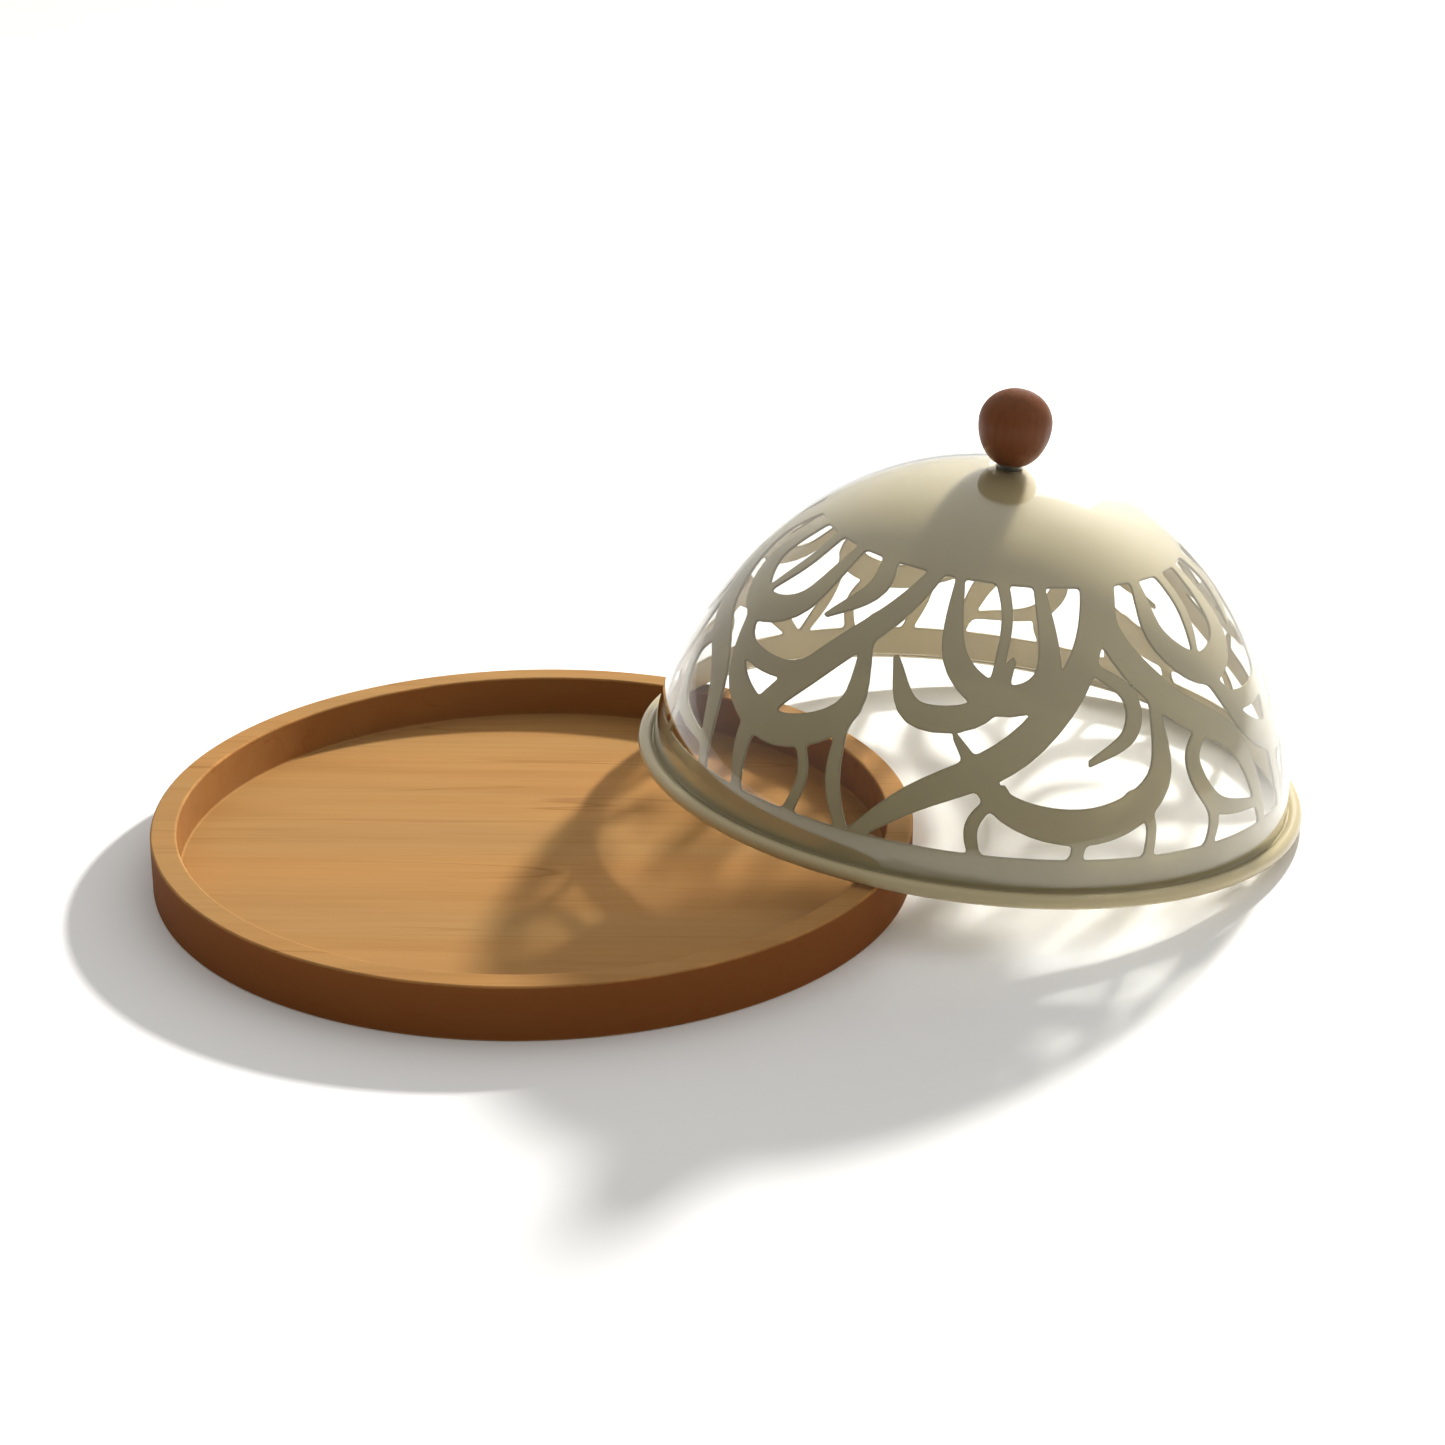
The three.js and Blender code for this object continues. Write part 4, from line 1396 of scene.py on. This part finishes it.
    def build(self, place: Place) -> None:
        """Builds the knob, its gaskets, washer, insert and screw."""
        s = self.sizes
        knob = turned_skin(self.knob_profile(), 128, closed=False, tight=0.3 * MM)
        knob.piece("turned_knob", place, "knob", Body.DOME, Slot.KNOB_WOOD, KNOB_WOOD.material())
        silicone = SILICONE.material()
        crown_top = s.crown(s.cover) - s.seat
        gaskets = (
            ("soft_knob_gasket", "knob_gasket", self.seat - s.seat, self.gasket),
            ("soft_crown_gasket", "crown_gasket", crown_top, s.air - 2 * s.seat),
            ("soft_screw_gasket", "screw_gasket", self.inner_top, self.gasket),
        )
        for name, node, top, thickness in gaskets:
            profile = rounded_ring(s.hole, self.gasket_radius, top - thickness, top, thickness * 0.45)
            ring = turned_skin(profile, 96, closed=True, tight=0.3 * MM)
            ring.piece(name, place, node, Body.DOME, Slot.SILICONE, silicone)
        steel = STEEL.material()
        low, high = self.washer_top - self.washer, self.washer_top
        profile = rounded_ring(s.hole, self.washer_radius, low, high, 0.18 * MM)
        washer = turned_skin(profile, 96, closed=True, tight=0.2 * MM)
        washer.piece("stamped_washer", place, "screw_washer", Body.DOME, Slot.STEEL, steel)
        insert = self.insert_skin()
        insert.piece("knurled_insert", place, "knob_insert", Body.DOME, Slot.BRASS, BRASS.material())
        screw = self.screw_skin()
        screw.piece("pan_head_screw", place, "knob_screw", Body.DOME, Slot.STEEL, steel)


# ---------------------------------------------------------------------- studio


@dataclass
class Studio:
    """Floor, light and camera.

    Attributes:
        lens: focal length in millimetres, on a sensor 36 mm wide.
        eye: where the camera stands.
        target: what it looks at.
        key_place: where the main light hangs.
        key_radius: its radius.
        key_power: its power in watts.
        crown: the place that the soft panel is laid out from.
        panel_corners: azimuth from +Y towards +X and height, in degrees, of each corner.
        panel_distance: how far away the panel's middle is.
        panel_strength: how bright it is.
        lamp_colour: colour of the main light.
        sky_way: direction that the surroundings are brightest in, times their steepness.
        sky_levels: their darkest and brightest level.
        sky_colour: their colour.
    """

    lens: float = 85.0
    eye: tuple[float, float, float] = (0.08472, -1.39146, 0.65982)
    target: tuple[float, float, float] = (0.08472, 0.16081, 0.0)
    key_place: tuple[float, float, float] = (0.525, 0.735, 0.536)
    key_radius: float = 0.034
    key_power: float = 66.0
    crown: tuple[float, float, float] = (0.230, 0.045, 0.158)
    panel_corners: tuple[tuple[float, float], ...] = ((30, 29), (6, 47), (4, -5), (17, -8))
    panel_distance: float = 1.0
    panel_strength: float = 2.1
    lamp_colour: tuple[float, float, float] = (1.0, 0.98, 0.95)
    sky_way: tuple[float, float, float] = (0.52, 0.64, 0.56)
    sky_levels: tuple[float, float] = (0.05, 0.85)
    sky_colour: Colour = (1.0, 0.98, 0.945, 1.0)

    def floor(self) -> None:
        """A plain pale floor: a square grid of points at z = 0."""
        reach, steps = 14.0, 8
        side = np.linspace(-reach, reach, steps + 1)
        x, y = np.meshgrid(side, side)
        points = np.column_stack([x.ravel(), y.ravel(), np.zeros(x.size)])
        corner = np.arange(x.size).reshape(x.shape)
        faces = np.stack([corner[:-1, :-1], corner[:-1, 1:], corner[1:, 1:], corner[1:, :-1]], -1)
        mesh = bpy.data.meshes.new("floor")
        mesh.from_pydata(points, [], faces.reshape(-1, 4).tolist())
        g = Graph("floor_paint")
        mottle = g.noise(g.coordinates(), 3.0, 4)
        colour = g.mix(g.remap(mottle, 0.3, 0.7), (0.92, 0.92, 0.92, 1), (0.94, 0.94, 0.94, 1))
        g.set(Base_Color=colour, Roughness=0.7, Specular_IOR_Level=0.2)
        mesh.materials.append(g.material)
        floor = bpy.data.objects.new("floor", mesh)
        bpy.context.scene.collection.objects.link(floor)

    def sky(self) -> None:
        """Soft white surroundings, brighter behind the object than in front of it."""
        world = bpy.data.worlds.new("surroundings")
        world.use_nodes = True
        bpy.context.scene.world = world
        tree = world.node_tree
        nodes, links = tree.nodes, tree.links
        way = nodes.new("ShaderNodeTexCoord")
        dot = nodes.new("ShaderNodeVectorMath")
        dot.operation = "DOT_PRODUCT"
        dot.inputs[1].default_value = self.sky_way
        level = nodes.new("ShaderNodeMapRange")
        level.inputs["From Min"].default_value = -0.9
        level.inputs["From Max"].default_value = 0.9
        level.inputs["To Min"].default_value, level.inputs["To Max"].default_value = self.sky_levels
        shade = nodes["Background"]
        shade.inputs["Color"].default_value = self.sky_colour
        links.new(way.outputs["Generated"], dot.inputs[0])
        links.new(dot.outputs["Value"], level.inputs["Value"])
        links.new(level.outputs[0], shade.inputs["Strength"])

    def key(self) -> None:
        """The main light from behind on the right, equally strong at every distance."""
        light = bpy.data.lights.new("main_light", "POINT")
        light.shadow_soft_size = self.key_radius
        light.energy = self.key_power
        light.color = self.lamp_colour
        light.use_nodes = True
        nodes = light.node_tree.nodes
        falloff = nodes.new("ShaderNodeLightFalloff")
        falloff.inputs["Strength"].default_value = 1.0
        light.node_tree.links.new(falloff.outputs["Constant"], nodes["Emission"].inputs["Strength"])
        lamp = bpy.data.objects.new("main_light", light)
        lamp.location = self.key_place
        lamp.visible_camera = False
        lamp.visible_glossy = False
        bpy.context.scene.collection.objects.link(lamp)

    def panel(self) -> None:
        """A soft panel behind the object, which only shows in reflections.

        Each corner is where its direction from the crown meets an upright-facing plane: the
        direction times the plane's distance over its share of the plane's own direction.
        """
        azimuth, height = np.radians(np.array(self.panel_corners)).T
        level = np.cos(height)
        ways = np.column_stack([np.sin(azimuth) * level, np.cos(azimuth) * level, np.sin(height)])
        middle = ways.mean(axis=0)
        middle /= np.linalg.norm(middle)
        corners = np.array(self.crown) + ways * (self.panel_distance / (ways @ middle))[:, None]
        mesh = bpy.data.meshes.new("soft_panel")
        mesh.from_pydata(corners, [], [[0, 1, 2, 3]])
        g = Graph("soft_panel_light")
        glow = g.node("ShaderNodeEmission", Color=(1.0, 1.0, 1.0, 1), Strength=self.panel_strength)
        g.feed(g.output.inputs["Surface"], glow.outputs[0])
        mesh.materials.append(g.material)
        panel = bpy.data.objects.new("soft_panel", mesh)
        panel.visible_camera = False
        panel.visible_diffuse = False
        panel.visible_shadow = False
        bpy.context.scene.collection.objects.link(panel)

    def camera(self) -> None:
        """The camera, looking slightly down at the object."""
        lens = bpy.data.cameras.new("camera")
        lens.lens = self.lens
        lens.sensor_width = 36.0
        lens.clip_end = 100.0
        camera = bpy.data.objects.new("camera", lens)
        camera.location = self.eye
        way = Vector(self.eye) - Vector(self.target)
        camera.rotation_euler = way.to_track_quat("Z", "Y").to_euler()
        bpy.context.scene.collection.objects.link(camera)
        bpy.context.scene.camera = camera

    def build(self) -> None:
        """Builds the floor, the light and the camera."""
        self.camera()
        self.floor()
        self.sky()
        self.key()
        self.panel()
        bpy.context.scene.view_settings.view_transform = "Standard"


def main() -> None:
    """Builds the studio and every piece, in order."""
    logging.basicConfig(level=logging.INFO, format="%(name)s: %(message)s")
    Studio().build()
    Tray().build()
    sizes = DomeSizes()
    place = dome_place(sizes)
    OpenworkShell(sizes).build(place)
    Cover(sizes).build(place)
    KnobAssembly(sizes).build(place)


if __name__ == "__main__":
    main()
